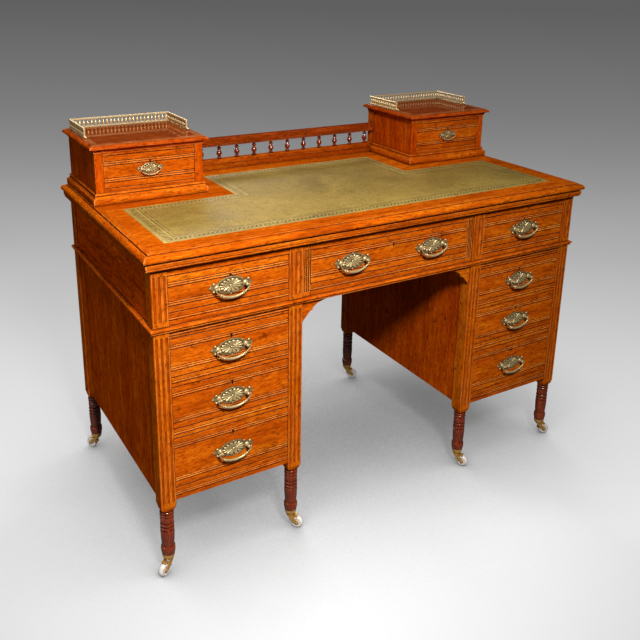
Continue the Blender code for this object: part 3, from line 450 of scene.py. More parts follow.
def leather_material(name, tone):
    """Olive hide: mottled, with a fine pebbled grain and painted shade in its hollows."""
    g = Graph(name)

    def shade(red, green, blue):
        return (red * tone[0], green * tone[1], blue * tone[2])

    cloud = g.cloud(5.5, 6.0, 0.62, 0.5)
    speck = g.cloud(60.0, 4.0, 0.7)
    colour = g.ramp(cloud, (
        (0.30, shade(0.230, 0.146, 0.034)),
        (0.46, shade(0.345, 0.224, 0.053)),
        (0.58, shade(0.415, 0.272, 0.066)),
        (0.74, shade(0.520, 0.358, 0.100)),
    ))
    colour = g.mix(g.grey(speck, 0.0, 0.55, 0.50, 0.72), colour, shade(0.165, 0.102, 0.024))
    grain = g.cloud(340.0, 3.0, 0.7)
    colour = g.mix(g.grey(grain, 0.0, 0.70, 0.52, 0.68), colour, shade(0.120, 0.076, 0.018))
    colour = g.mix(g.grey(grain, 0.55, 0.0, 0.30, 0.46), colour, shade(0.680, 0.500, 0.170))
    spots = g.cloud(150.0, 2.0, 0.5)
    colour = g.mix(g.grey(spots, 0.0, 0.75, 0.70, 0.77), colour, shade(0.800, 0.640, 0.300))
    scuff = g.noise(g.coords((26.0, 150.0, 1.0), seed=False), 1.0, 3.0, 0.6, 0.6)
    colour = g.mix(g.grey(scuff, 0.0, 0.50, 0.66, 0.76), colour, shade(0.700, 0.540, 0.220))
    # Painted shade: darker in the hollows.
    colour = g.mix(g.grey(g.hollows(0.004), 0.7, 0.0, 0.3, 0.85), colour, (0.045, 0.032, 0.010))
    g.wire(colour, g.shader, "Base Color")
    cells = g.add("ShaderNodeTexVoronoi", feature="DISTANCE_TO_EDGE", Scale=620.0)
    g.wire(g.coords(seed=False), cells, "Vector")
    g.bump(cells.outputs["Distance"], 0.25, 0.0005)
    g.wire(g.grey(cloud, 0.46, 0.66, 0.3, 0.7), g.shader, "Roughness")
    g.set(Specular_IOR_Level=0.12)
    return g.material


def tooling_material():
    """Blind tooling: leather pressed darker and rubbed through in places."""
    g = Graph("tooled_leather")
    speck = g.cloud(110.0, 4.0, 0.7)
    wear = g.cloud(85.0, 3.0, 0.6)
    colour = g.ramp(speck, ((0.35, (0.018, 0.013, 0.004)), (0.65, (0.060, 0.043, 0.012))))
    colour = g.mix(g.grey(wear, 0.0, 0.70, 0.54, 0.66), colour, (0.300, 0.210, 0.060))
    g.wire(colour, g.shader, "Base Color")
    g.bump(speck, 0.2, 0.0004)
    g.wire(g.grey(speck, 0.38, 0.55), g.shader, "Roughness")
    g.set(Specular_IOR_Level=0.2)
    return g.material


def brass_material(name, bright, dull, dark):
    """Old brass: pale gold where it is rubbed, brown in its hollows."""
    g = Graph(name)
    cloud = g.cloud(120.0, 4.0, 0.6)
    colour = g.mix(g.grey(cloud, 0.0, 0.40, 0.48, 0.75), bright, dull)
    colour = g.mix(g.grey(g.hollows(0.0035, 6), 0.96, 0.0, 0.30, 0.80), colour, dark)
    g.wire(colour, g.shader, "Base Color")
    g.wire(g.grey(cloud, 0.34, 0.46, 0.35, 0.7), g.shader, "Roughness")
    g.bump(cloud, 0.02, 0.0004)
    g.set(Metallic=0.5)
    return g.material


def porcelain_material():
    """Glazed off-white wheels, greyed and browned by floors, with painted shade in their hollows."""
    g = Graph("porcelain")
    cloud = g.cloud(90.0, 4.0, 0.6)
    colour = g.ramp(cloud, (
        (0.35, (0.68, 0.57, 0.50)),
        (0.55, (0.86, 0.79, 0.73)),
        (0.75, (0.92, 0.88, 0.84)),
    ))
    # Painted shade: darker in the hollows.
    colour = g.mix(g.grey(g.hollows(0.004), 0.6, 0.0, 0.3, 0.9), colour, (0.16, 0.10, 0.07))
    g.wire(colour, g.shader, "Base Color")
    g.wire(g.grey(cloud, 0.12, 0.30), g.shader, "Roughness")
    g.bump(cloud, 0.05, 0.0004)
    return g.material


def iron_material():
    """Dark lock iron seen through the keyholes."""
    g = Graph("lock_iron")
    cloud = g.cloud(200.0, 3.0)
    colour = g.ramp(cloud, ((0.3, (0.010, 0.008, 0.006)), (0.7, (0.035, 0.028, 0.022))))
    g.wire(colour, g.shader, "Base Color")
    g.wire(g.grey(cloud, 0.5, 0.7), g.shader, "Roughness")
    g.set(Metallic=0.6)
    return g.material


WOOD_X = wood("oak_along_x", "X", OAK_STOPS)
WOOD_Y = wood("oak_along_y", "Y", OAK_STOPS)
WOOD_Z = wood("oak_along_z", "Z", OAK_STOPS)
# The posts' faces in a lighter oak as painted highlight, their flutes in a darker oak as painted shade.
POST_HIGHLIGHT_Z = wood("rubbed_oak_along_z", "Z", toned(OAK_STOPS, 1.02, 1.16, 1.4))
FLUTE_SHADE_Z = wood("flute_oak_along_z", "Z", toned(OAK_STOPS, 0.82, 0.72, 0.7))
# Paler, pinker oak for the reeds' crests: painted highlight.
REED_CREST_HIGHLIGHT_X = wood("reed_oak_along_x", "X", toned(OAK_STOPS, 1.20, 1.56, 6.5))
TOP_X = wood("top_oak_along_x", "X", OAK_STOPS, rubbed=0.0)
RAIL_X = wood("rail_oak_along_x", "X", toned(OAK_STOPS, 0.66, 0.60, 0.7))
LID_X = wood("lid_polish_along_x", "X", toned(LID_STOPS, 1.12, 1.02, 0.9), polish=(0.55, 0.065, 1.5))
LID_EDGE_X = wood("lid_edge_along_x", "X", toned(OAK_STOPS, 0.84, 0.66, 1.6))
LID_EDGE_Y = wood("lid_edge_along_y", "Y", toned(OAK_STOPS, 0.84, 0.66, 1.6))
# The panels' oak is toned for the light they get: the frieze ends' copy lifted in red against the top's
# shadow, painted light; the side, knee and case panels' copy darker and redder, painted shade.
PANEL_Y = wood("panel_oak_along_y", "Y", toned(OAK_STOPS, 1.24, 0.94, 0.6))
PANEL_Z = wood("panel_oak_along_z", "Z", toned(OAK_STOPS, 0.96, 0.76, 0.6))
# The quirks' dark wax, also painted shade.
WAX_AND_SHADE_X = wood("wax_filled_along_x", "X", WAX_AND_SHADE_STOPS)
DARK_X = wood("dark_oak_along_x", "X", DARK_STOPS)
DARK_Z = wood("dark_oak_along_z", "Z", toned(DARK_STOPS, 0.80, 0.66, 0.5), polish=(1.0, 0.13, 1.7))
PALE_X = wood("drawer_lining_along_x", "X", PALE_STOPS, (0.5, 0.7))
PALE_Y = wood("drawer_lining_along_y", "Y", PALE_STOPS, (0.5, 0.7))
HIDE = leather_material("olive_leather", (0.97, 0.97, 0.86))
BORDER_HIDE = leather_material("border_leather", (1.16, 1.19, 1.17))
TOOLING = tooling_material()
BRASS = brass_material("aged_brass", (0.55, 0.41, 0.19), (0.36, 0.25, 0.10), (0.035, 0.020, 0.006))
DULL_BRASS = brass_material("dull_brass", (0.28, 0.20, 0.085), (0.19, 0.13, 0.05), (0.03, 0.018, 0.006))
PATINA = brass_material("brass_patina", (0.12, 0.066, 0.020), (0.08, 0.043, 0.012), (0.025, 0.013, 0.004))
CASTER_BRASS = brass_material("caster_brass", (0.66, 0.35, 0.075), (0.36, 0.17, 0.03), (0.045, 0.018, 0.005))
RUBBED_BRASS = brass_material("rubbed_brass", (0.84, 0.62, 0.30), (0.58, 0.39, 0.15), (0.09, 0.052, 0.017))
PORCELAIN = porcelain_material()
IRON = iron_material()


SEED_WAVES = ((37.1, 11.7, 23.3), (17.9, 41.3, 5.1), (7.3, 29.9, 53.7))
SEED_REACH = 3.0


def seed_boards(mesh):
    """Give each separate board of a mesh its own shift into the grain."""
    bm = bmesh.new()
    bm.from_mesh(mesh)
    layer = bm.verts.layers.float_vector.new("board_seed")
    unseen = set(bm.verts)
    while unseen:
        first = min(unseen, key=lambda v: v.index)
        stack = [first]
        unseen.discard(first)
        island = []
        while stack:
            vert = stack.pop()
            island.append(vert)
            for edge in vert.link_edges:
                other = edge.other_vert(vert)
                if other in unseen:
                    unseen.discard(other)
                    stack.append(other)
        middle = sum((v.co for v in island), Vector()) / len(island)
        shift = Vector([math.sin(middle.dot(Vector(wave))) for wave in SEED_WAVES])
        for vert in island:
            vert[layer] = shift * SEED_REACH
    bm.to_mesh(mesh)
    bm.free()


def timber(name, bm, material, body="desk", nodes=(), slot="oak", reeded=False):
    """A wooden piece, each board with its own grain, with dark wax as painted shade in the quirks and painted
    highlight on the crests of its reeds where it has them.
    """
    mesh = finish_mesh(name, bm)
    seed_boards(mesh)
    if reeded:
        wax_shade_and_crest_highlight(mesh, FACE)
    return place(name, mesh, material, slot, body, nodes)


def boards(name, corners, material, body="desk", nodes=(), ease=EASE):
    """A wooden piece of plain boards, each given by its low and high corner."""
    bm = bmesh.new()
    for low, high in corners:
        board(bm, low, high, ease)
    return timber(name, bm, material, body, nodes)


# Top board and leather


CORE_INSET = 0.030
CORE_LAP = 0.004
CORE_DEPTH = 0.012
JOINT_STEP = 0.00012
ARRIS_INSET = 0.0135
OVERHANG = TOP_HIGH.x - BODY_HALF
BED_DEPTH = 0.0015
CUT_PAST = 0.002
NOTCH_MARGIN = 0.050
SHELF_MARGIN = 0.045


def nosing_section():
    """The top's edge as (out from the core, height): arris, ovolo, nose, quirk, fascia, bead and recess."""
    edge, top = CORE_INSET, BOARD_TOP - JOINT_STEP
    arris = edge - ARRIS_INSET
    face = edge - OVERHANG
    nose, quirk, fascia = top - 0.0125, top - 0.0175, top - 0.0208
    bead_top = fascia - 0.0088
    points = [(0.0, top), (arris - 0.0005, top), (arris, top - 0.0005), (arris + 0.0002, top - 0.0042)]
    points += [(arris + 0.0018, top - 0.0044)]
    points += arc(arris + 0.0022, nose, ARRIS_INSET - 0.0022, 90, 0, 10, 0.0098)
    points += arc(edge - 0.0046, nose, 0.0046, 0, -90, 6, nose - quirk)
    points += [(edge - 0.0088, quirk - 0.0004), (edge - 0.0092, quirk - 0.0016), (edge - 0.0088, fascia)]
    points += [(edge - 0.0058, fascia - 0.0002), (edge - 0.0051, fascia - 0.0012)]
    points += [(edge - 0.0056, bead_top + 0.0012), (edge - 0.0064, bead_top + 0.0002)]
    points.append((edge - 0.0094, bead_top))
    points += arc(edge - 0.0092, bead_top - 0.0028, 0.0026, 90, -90, 8)
    points += [(face + 0.0012, bead_top - 0.0058), (face + 0.0003, bead_top - 0.0062)]
    return points + [(face + 0.0003, TOP_LOW.z), (0.0, TOP_LOW.z)]


def leather_corner_list(inset):
    """The T outline, right side from the front, then the left side back."""
    notch_x = CASE_IN - BASE_OUT - NOTCH_MARGIN - inset
    shelf_y = CASE_FRONT - BASE_OUT - SHELF_MARGIN - inset
    side = LEATHER_HIGH.x - inset
    front = LEATHER_LOW.y + inset
    back = LEATHER_HIGH.y - inset
    right = [(side, front), (side, shelf_y), (notch_x, shelf_y), (notch_x, back)]
    return right + [(-x, y) for x, y in reversed(right)]


def top_board():
    core_x = TOP_HIGH.x - CORE_INSET
    core_y = TOP_HIGH.y - CORE_INSET
    wide_x, wide_y = core_x + CORE_LAP, core_y + CORE_LAP
    outline = [(-wide_x, -wide_y), (wide_x, -wide_y), (wide_x, wide_y), (-wide_x, wide_y)]
    bm = bmesh.new()
    loft(bm, [[(x, y, z) for x, y in outline] for z in (BOARD_TOP - CORE_DEPTH, BOARD_TOP)])
    slab = finish_mesh("top_core", bm)
    bm = bmesh.new()
    bed = leather_corner_list(-GAP)
    loft(bm, [[(x, y, z) for x, y in bed] for z in (BOARD_TOP - BED_DEPTH, BOARD_TOP + CUT_PAST)])
    slab = carve(slab, finish_mesh("bed", bm))
    seed_boards(slab)
    place("top_core", slab, TOP_X, "oak", "desk", ["top_board"])

    section = nosing_section()
    runs = {
        "top_edge_front": ((-1, -1), (1, -1), WOOD_X),
        "top_edge_right": ((1, -1), (1, 1), WOOD_Y),
        "top_edge_back": ((1, 1), (-1, 1), WOOD_X),
        "top_edge_left": ((-1, 1), (-1, -1), WOOD_Y),
    }
    for name, (a, b, material) in runs.items():
        corners = [(sx * core_x, sy * core_y) for sx, sy in (a, b)]
        bm = bmesh.new()
        mitred(bm, section, *corners, a, b)
        timber(name, bm, material)


def ring_strip(bm, outer, inner, z, thickness):
    """A flat band between two outlines of the same corners, with a little thickness."""
    loft(bm, [
        [(x, y, z - thickness) for x, y in outer],
        [(x, y, z) for x, y in outer],
        [(x, y, z) for x, y in inner],
        [(x, y, z - thickness) for x, y in inner],
    ], close=True)


HIDE_EASE = 0.0012
BORDER_WIDTH = 0.0385
BORDER_RISE = 0.00006
TOOL_LINES = ((0.0100, 0.0010), (0.0212, 0.0010), (0.0300, 0.0018), (0.0368, 0.0012))
DASH_INSET = 0.0161
DASH_PITCH = 0.0102
DASH_LENGTH = 0.0072
DASH_WIDTH = 0.0040
DASH_LEAN = 0.6
TOOL_RISE = 0.00016
STAMP_DEPTH = 0.0004
LINE_DEPTH = 0.0006


def dash(bm, centre, along, z):
    """One stamped dash of the roll along the border, lying aslant."""
    across = Vector((-along.y, along.x))
    lean = (across + along * DASH_LEAN).normalized() * DASH_LENGTH / 2
    half = along * DASH_WIDTH / 2
    rim = [centre - lean - half, centre - lean + half, centre + lean + half, centre + lean - half]
    loft(bm, [[(p.x, p.y, height) for p in rim] for height in (z - STAMP_DEPTH, z)])


def leather_top():
    outer = leather_corner_list(0.0)
    edge = leather_corner_list(HIDE_EASE)
    top = LEATHER_HIGH.z
    levels = ((outer, LEATHER_LOW.z), (outer, top - STAMP_DEPTH), (edge, top))
    bm = bmesh.new()
    loft(bm, [[(x, y, z) for x, y in outline] for outline, z in levels])
    piece("leather_top", bm, HIDE, "leather", "desk", ["leather_inset"])
    bm = bmesh.new()
    ring_strip(bm, edge, leather_corner_list(BORDER_WIDTH), top + BORDER_RISE, STAMP_DEPTH)
    piece("leather_border", bm, BORDER_HIDE, "leather", "desk")
    bm = bmesh.new()
    z = top + TOOL_RISE
    for inset, width in TOOL_LINES:
        ring_strip(bm, leather_corner_list(inset), leather_corner_list(inset + width), z, LINE_DEPTH)
    path = [Vector(p) for p in leather_corner_list(DASH_INSET)]
    for a, b in zip(path, path[1:] + path[:1]):
        along = (b - a).normalized()
        count = max(1, round((b - a).length / DASH_PITCH))
        for i in range(count):
            dash(bm, a.lerp(b, (i + 0.5) / count), along, z)
    piece("leather_tooling", bm, TOOLING, "leather", "desk")


# Carcass


FLUTES = 3
FLUTE_PITCH = 0.0110
FLUTE_RADIUS = 0.0032
FLUTE_DEPTH = 0.0023
FLUTE_STOP = 0.010
FLUTE_SKIN = 0.0002
LEVEL_FACE = 0.9
SIDE_FACE = 0.95
STRIP_FLUTES = (0.0048, 0.0019)
STRIP_GAP = 0.0004
DUST_BOARD = 0.009
LINING_BACK = BACK - WALL - 0.001
KNEE_GUIDE = 0.026
END_GUIDE = 0.019
GUIDE_GAP = 0.001
GUIDE_FOOT = 0.020
WAIST_CORE = 0.040


def fluted_post(name, width, depth, bottom, top, pitch=FLUTE_PITCH, radius=FLUTE_RADIUS):
    """A square post about X = 0 with stopped flutes in its front face at Y = 0."""
    bm = bmesh.new()
    board(bm, (-width / 2, 0, bottom), (width / 2, depth, top), POST_EASE)
    post = finish_mesh(name, bm)
    bm = bmesh.new()
    profile = arc(0, top - FLUTE_STOP - radius, radius, 90, 0, 5)
    profile += arc(0, bottom + FLUTE_STOP + radius, radius, 0, -90, 5)
    for i in range(FLUTES):
        x = (i - (FLUTES - 1) / 2) * pitch
        lathe(bm, profile, 20, Matrix.Translation((x, FLUTE_DEPTH - radius, 0)))
    return carve(post, finish_mesh("flutes", bm))


def rail_section(bottom, top, reeds):
    """A front rail's (Y, Z) section with reeds along the middle of its face."""
    back = FACE + RAIL_DEPTH
    front = [(back, bottom), (FACE + EASE, bottom), (FACE, bottom + EASE)]
    if reeds:
        front += reed_band((bottom + top) / 2, FACE, reeds)
    return front + [(FACE, top - EASE), (FACE + EASE, top), (back, top)]


def set_posts(mesh, name, places, nodes=()):
    """Posts of one mesh: faces in a lighter oak as painted highlight, with the flutes behind the front darker
    as painted shade.
    """
    seed_boards(mesh)
    mesh.materials.append(POST_HIGHLIGHT_Z)
    mesh.materials.append(FLUTE_SHADE_Z)
    for polygon in mesh.polygons:
        inside = FLUTE_SKIN < polygon.center.y < FLUTE_DEPTH
        hollow = abs(polygon.normal.z) < LEVEL_FACE and abs(polygon.normal.x) < SIDE_FACE
        polygon.material_index = 1 if inside and hollow else 0
    for i, (x, y) in enumerate(places):
        place(f"{name}_{i + 1}", mesh, POST_HIGHLIGHT_Z, "oak", "desk", nodes, (x, y, 0))
        nodes = ()


def drawer_levels(side_name):
    """Bottom and top of each pedestal opening, lowest first, from the drawers' own boxes."""
    levels = []
    for level in LEVELS:
        low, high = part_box(f"{side_name}_{level}_drawer")
        levels.append((low.z - GAP, high.z + 2 * GAP))
    return levels


def frieze():
    heights = (FRIEZE_LOW.z, FRIEZE_HIGH.z)
    bottom, top = heights
    low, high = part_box("left_frieze_drawer")
    rails = ((bottom, low.z - GAP), (high.z + 2 * GAP, top))
    post = fluted_post("frieze_post", POST, POST, bottom, top)
    set_posts(post, "frieze_post", FRONT_POSTS, ["frieze_carcass"])
    strip = fluted_post("frieze_strip", STRIP - STRIP_GAP, RAIL_DEPTH, bottom, top, *STRIP_FLUTES)
    set_posts(strip, "frieze_strip", [(side * (KNEE_HALF - STRIP / 2), FACE) for side in SIDES.values()])

    spans = [mirrored(side, OPENING_IN, OPENING_OUT) for side in SIDES.values()]
    spans.append((STRIP - KNEE_HALF, KNEE_HALF - STRIP))
    bm = bmesh.new()
    for (z0, z1), reeds in zip(rails, (1, 0)):
        for xs in spans:
            prism_x(bm, rail_section(z0, z1, reeds), xs)
    board(bm, (-OPENING_OUT, BACK - WALL, bottom), (OPENING_OUT, BACK - PANEL_RECESS, top))
    timber("frieze_rails", bm, WOOD_X, reeded=True)

    inside = (FRONT + POST, LINING_BACK)
    guide = (OPENING_IN - GUIDE_GAP - KNEE_GUIDE, OPENING_IN - GUIDE_GAP)
    corners = []
    for side in SIDES.values():
        end = (BODY_HALF - WALL, BODY_HALF - PANEL_RECESS)
        corners.append(span(side, *end, (FRONT + POST, BACK - POST), heights))
        for xs in (guide, (OPENING_OUT, OPENING_OUT + END_GUIDE)):
            corners.append(span(side, *xs, inside, (bottom + GUIDE_FOOT, top - GUIDE_GAP)))
    boards("frieze_ends", corners, PANEL_Y)

    corner_post = (BODY_HALF - POST, BODY_HALF, (BACK - POST, BACK), heights)
    corners = [span(side, *corner_post) for side in SIDES.values()]
    boards("frieze_back_posts", corners, WOOD_Z, ease=POST_EASE)

    floor = rails[0][1]
    corners = [((x0, inside[0], floor - DUST_BOARD), (x1, inside[1], floor)) for x0, x1 in spans]
    boards("frieze_dust_boards", corners, PALE_X)


def waist_section():
    """The waist moulding's (out, height) section, from below: small bead, quirk, nosing and fillet."""
    low, high = WAIST_LOW.z, WAIST_HIGH.z
    face, radius, small = WAIST_CORE, 0.0030, 0.0018
    points = [(0.0, low), (face + 0.0010, low)]
    points += arc(face + 0.0042 - small, low + 0.0002 + small, small, -90, 90, 8)
    points += [(face + 0.0010, low + 0.0042), (face + 0.0010, high - 0.0072)]
    points += arc(face + 0.0070 - radius, high - 0.0010 - radius, radius, -90, 90, 10)
    return points + [(face + 0.0005, high - 0.0010), (face + 0.0005, high), (0.0, high)]


def waist():
    inner_x, inner_front = BODY_HALF - WAIST_CORE, FRONT + WAIST_CORE
    section = waist_section()
    left, right = (-inner_x, inner_front), (inner_x, inner_front)
    bm = bmesh.new()
    mitred(bm, section, left, right, (-1, -1), (1, -1))
    board(bm, (-inner_x, BACK - WAIST_CORE, WAIST_LOW.z), (inner_x, BACK, WAIST_HIGH.z))
    timber("waist_front", bm, WOOD_X, nodes=["waist_moulding"])
    bm = bmesh.new()
    for side, corner in ((-1, left), (1, right)):
        mitred(bm, section, corner, (corner[0], BACK), (side, -1), (side, 0))
    timber("waist_sides", bm, WOOD_Y)


FOOT_TOP = 0.166
FOOT_TIP = 0.0434
SHOULDER_TOP = FOOT_TOP + 0.010
SOCKET_TOP = 0.0500
TURNING_STEPS = 32
SPANDREL_DEPTH = (FRONT + 0.004, FRONT + 0.020)
PANEL_LAP = 0.001
BACK_LAP = 0.010
FLOOR = 0.011
FLOOR_INSET = 0.014
RUNNER = 0.009
RUNNER_GAP = 0.0002
RUNNER_REACH = 0.012
GUIDE_RISE = 0.018


def foot_profile():
    """Turned foot, from under the post's shoulder down to its brass socket."""
    core = 0.0128
    points = [(0.0, FOOT_TOP + 0.001), (0.0142, FOOT_TOP + 0.001), (0.0142, FOOT_TOP - 0.0006)]
    points += [(core, FOOT_TOP - 0.0022)]
    points += bead(0.0158, core, 0.1598, 0.0034)
    points += bead(0.0158, core, 0.1523, 0.0036)
    points += [(0.0142, 0.1478), (0.0150, 0.1460), (0.0153, 0.1425)]
    points += [(0.0152, 0.1380), (0.0148, 0.1345), (core, 0.1320)]
    points += bead(0.0158, core, 0.1280, 0.0036)
    points += bead(0.0157, core, 0.1180, 0.0038)
    points += [(core, 0.1138), (0.0150, 0.1126), (0.0157, 0.1100)]
    points += [(0.0155, 0.1020), (0.0150, 0.0900), (0.0142, 0.0780), (0.0133, 0.0730), (0.0132, 0.0720)]
    points += [(0.0148, 0.0714), (0.0158, 0.0698), (0.0162, 0.0668), (0.0162, 0.0625), (0.0159, 0.0580)]
    points += [(0.0152, 0.0540), (0.0145, 0.0515), (0.0138, SOCKET_TOP), (0.0130, SOCKET_TOP - 0.002)]
    return points + [(0.0, SOCKET_TOP - 0.002)]


def socket_profile():
    """The brass cup and flange between the foot and the caster."""
    top, tip = SOCKET_TOP, FOOT_TIP + GAP
    points = [(0.0, top - 0.001), (0.0128, top - 0.001), (0.0140, top), (0.0143, top - 0.0012)]
    points += [(0.0140, top - 0.0030), (0.0134, top - 0.0040), (0.0140, top - 0.0052)]
    return points + [(0.0136, tip), (0.0, tip)]


def shoulder(bm, x, y):
    """The rounded lower end of a post, running from the square down to the turned neck."""
    rows = []
    steps = 7
    half = POST / 2
    for i in range(steps + 1):
        angle = math.pi / 2 * i / steps
        size = half - 0.0015 - (half - 0.0150) * (1 - math.sin(angle)) * 0.9
        z = FOOT_TOP + (SHOULDER_TOP - FOOT_TOP) * (1 - math.cos(angle))
        corner = min(size * 0.98, 0.0012 + (size * 0.85) * (1 - math.sin(angle)))
        ring = []
        for quarter in range(4):
            base = math.pi / 2 * quarter
            cx = (size - corner) * (1 if quarter in (0, 3) else -1)
            cy = (size - corner) * (1 if quarter in (0, 1) else -1)
            for k in range(5):
                turn = base + math.pi / 2 * k / 4
                ring.append((x + cx + corner * math.cos(turn), y + cy + corner * math.sin(turn), z))
        rows.append(ring)
    loft(bm, rows)


def spandrel(bm, side):
    """The shaped bracket at a top corner of the kneehole."""
    top = PEDESTAL_TOP
    drop, reach, tail, step = 0.049, 0.090, 0.022, 0.006
    tip, middle = top - drop, top - drop / 2
    edge = [(-0.0005, top), (-0.0005, tip), (0.0015, tip), (tail * 0.5, tip + 0.0115), (tail, middle - 0.001)]
    edge += [(reach - c, s) for c, s in arc(0, middle, reach - tail - step, 0, 90, 12, top - 0.0012 - middle)]
    edge.append((reach, top))
    prism_y(bm, [(side * (KNEE_HALF - across), z) for across, z in edge], SPANDREL_DEPTH)


def pedestal(side_name):
    side = SIDES[side_name]
    levels = drawer_levels(side_name)
    heights = (PEDESTAL_BOTTOM, PEDESTAL_TOP)

    bm = bmesh.new()
    ends = [PEDESTAL_BOTTOM] + [z for level in levels for z in level] + [PEDESTAL_TOP]
    for z0, z1 in zip(ends[::2], ends[1::2]):
        reeds = 2 if z0 == PEDESTAL_BOTTOM else 1
        prism_x(bm, rail_section(z0, z1, reeds), mirrored(side, OPENING_IN, OPENING_OUT))
    depth = (BACK - WALL, BACK - PANEL_RECESS)
    board(bm, *span(side, OPENING_IN - BACK_LAP, OPENING_OUT + BACK_LAP, depth, heights))
    timber(side_name + "_pedestal_rails", bm, WOOD_X, nodes=[side_name + "_pedestal"], reeded=True)

    depth = (FRONT + POST - PANEL_LAP, BACK - POST + PANEL_LAP)
    walls = ((BODY_HALF - WALL, BODY_HALF - PANEL_RECESS), (KNEE_HALF + PANEL_RECESS, KNEE_HALF + WALL))
    boards(side_name + "_pedestal_panels", [span(side, *xs, depth, heights) for xs in walls], PANEL_Z)

    place_y, place_z = (BACK - POST, BACK), (SHOULDER_TOP, PEDESTAL_TOP)
    corners = [span(side, x - POST / 2, x + POST / 2, place_y, place_z) for x in POST_MIDDLES]
    boards(side_name + "_back_posts", corners, WOOD_Z, ease=POST_EASE)

    xs, depth = (KNEE_HALF + FLOOR_INSET, BODY_HALF - FLOOR_INSET), (FRONT + RAIL_DEPTH, BACK - WALL)
    corners = [span(side, *xs, depth, (PEDESTAL_BOTTOM, PEDESTAL_BOTTOM + FLOOR))]
    corners.append(span(side, *xs, depth, (PEDESTAL_TOP - DUST_BOARD, PEDESTAL_TOP)))
    depth = (FRONT + POST, BACK - WALL)
    for z, _ in levels:
        runner = (z - RUNNER_GAP - RUNNER, z - RUNNER_GAP)
        for reach, zs in ((RUNNER_REACH, runner), (-GAP, (z, z + GUIDE_RISE))):
            corners.append(span(side, KNEE_HALF + WALL, OPENING_IN + reach, depth, zs))
            corners.append(span(side, OPENING_OUT - reach, BODY_HALF - WALL, depth, zs))
    boards(side_name + "_pedestal_lining", corners, PALE_Y)

    bm = bmesh.new()
    spandrel(bm, side)
    timber(side_name + "_spandrel", bm, WOOD_X)


def legs():
    """Shoulders, turned feet, caster sockets and front posts."""
    rows = (FRONT + POST / 2, BACK - POST / 2)
    places = [(side * x, y) for side in SIDES.values() for x in POST_MIDDLES for y in rows]
    bm = bmesh.new()
    for x, y in places:
        shoulder(bm, x, y)
    timber("post_shoulders", bm, WOOD_Z)
    bm = bmesh.new()
    for x, y in places:
        lathe(bm, foot_profile(), TURNING_STEPS, Matrix.Translation((x, y, 0)))
    timber("turned_feet", bm, DARK_Z, slot="dark_oak")
    bm = bmesh.new()
    for x, y in places:
        lathe(bm, socket_profile(), TURNING_STEPS, Matrix.Translation((x, y, 0)))
    piece("caster_sockets", bm, CASTER_BRASS, "brass", "desk")
    post = fluted_post("pedestal_post", POST, POST, SHOULDER_TOP, PEDESTAL_TOP)
    set_posts(post, "pedestal_post", FRONT_POSTS)


# Drawers


REED_PITCH = 0.0048
REEDS = 2
REED_DEPTH = 0.0017
REED_MIDDLE = 0.0189
REED_STEPS = 8
QUIRK = 0.0011
CREST_DEPTH = REED_DEPTH * 0.24
CREST_STEP = REED_PITCH / 5
FRONT_THICKNESS = 0.018
KEY_DROP = 0.0205
KEY_EYE = 0.0024
KEY_SLOT = 0.0016
KEY_LENGTH = 0.0072
KEY_DEPTH = 0.007
KEY_LINING = (1.16, 0.98)
LOCK_PLATE = (0.012, 0.013, 0.008)
LOCK_LAP = 0.0002
LOCK_IRON = 0.0006
LOCK_EASE = 0.0002
SMALL_LOCK = 0.9
LINING = 0.010
LINING_GAP = 0.0005
LINING_LAP = 0.001
RIM_DROP = 0.0094
BACK_STEP = 0.006
BOTTOM_RISE = 0.003
BOTTOM = 0.0043


def reed_band(middle, face, count=REEDS):
    """Half-round reeds sunk in a face, as (Y, Z) points from the bottom up."""
    start = middle - REED_PITCH * count / 2
    points = [(face, start - QUIRK)]
    for i in range(count):
        for k in range(REED_STEPS + 1):
            across = 2 * k / REED_STEPS - 1
            sink = REED_DEPTH * (1 - math.sqrt(1 - across * across))
            points.append((face + sink, start + REED_PITCH * (i + 0.5 + across / 2)))
    points.append((face, start + REED_PITCH * count + QUIRK))
    return [p for i, p in enumerate(points) if i == 0 or p != points[i - 1]]


def reeded_front(bottom, top, face):
    """A drawer front's (Y, Z) section: eased edges and two bands of sunk reeds."""
    outline = [(face + FRONT_THICKNESS, bottom), (face + EASE, bottom), (face, bottom + EASE)]
    outline += reed_band(bottom + REED_MIDDLE, face) + reed_band(top - REED_MIDDLE, face)
    return outline + [(face, top - EASE), (face + EASE, top), (face + FRONT_THICKNESS, top)]


def wax_shade_and_crest_highlight(mesh, face):
    """Dark wax, also painted shade, lies in the quirks on both sides of each reed, and the crests take a
    paler oak as painted highlight.
    """
    mesh.materials.clear()
    for material in (WOOD_X, WAX_AND_SHADE_X, REED_CREST_HIGHLIGHT_X):
        mesh.materials.append(material)
    for polygon in mesh.polygons:
        depth = polygon.center.y - face
        heights = [mesh.vertices[i].co.z for i in polygon.vertices]
        if CREST_DEPTH < depth < REED_DEPTH:
            polygon.material_index = 1
        elif depth < CREST_DEPTH and max(heights) - min(heights) < CREST_STEP:
            polygon.material_index = 2


def keyhole_outline(x, z, scale):
    """A round eye over a tapering slot."""
    half, foot = KEY_SLOT * scale, z - KEY_LENGTH * scale
    return arc(x, z, KEY_EYE * scale, -60, 240, 12) + [(x - half, foot), (x + half, foot)]


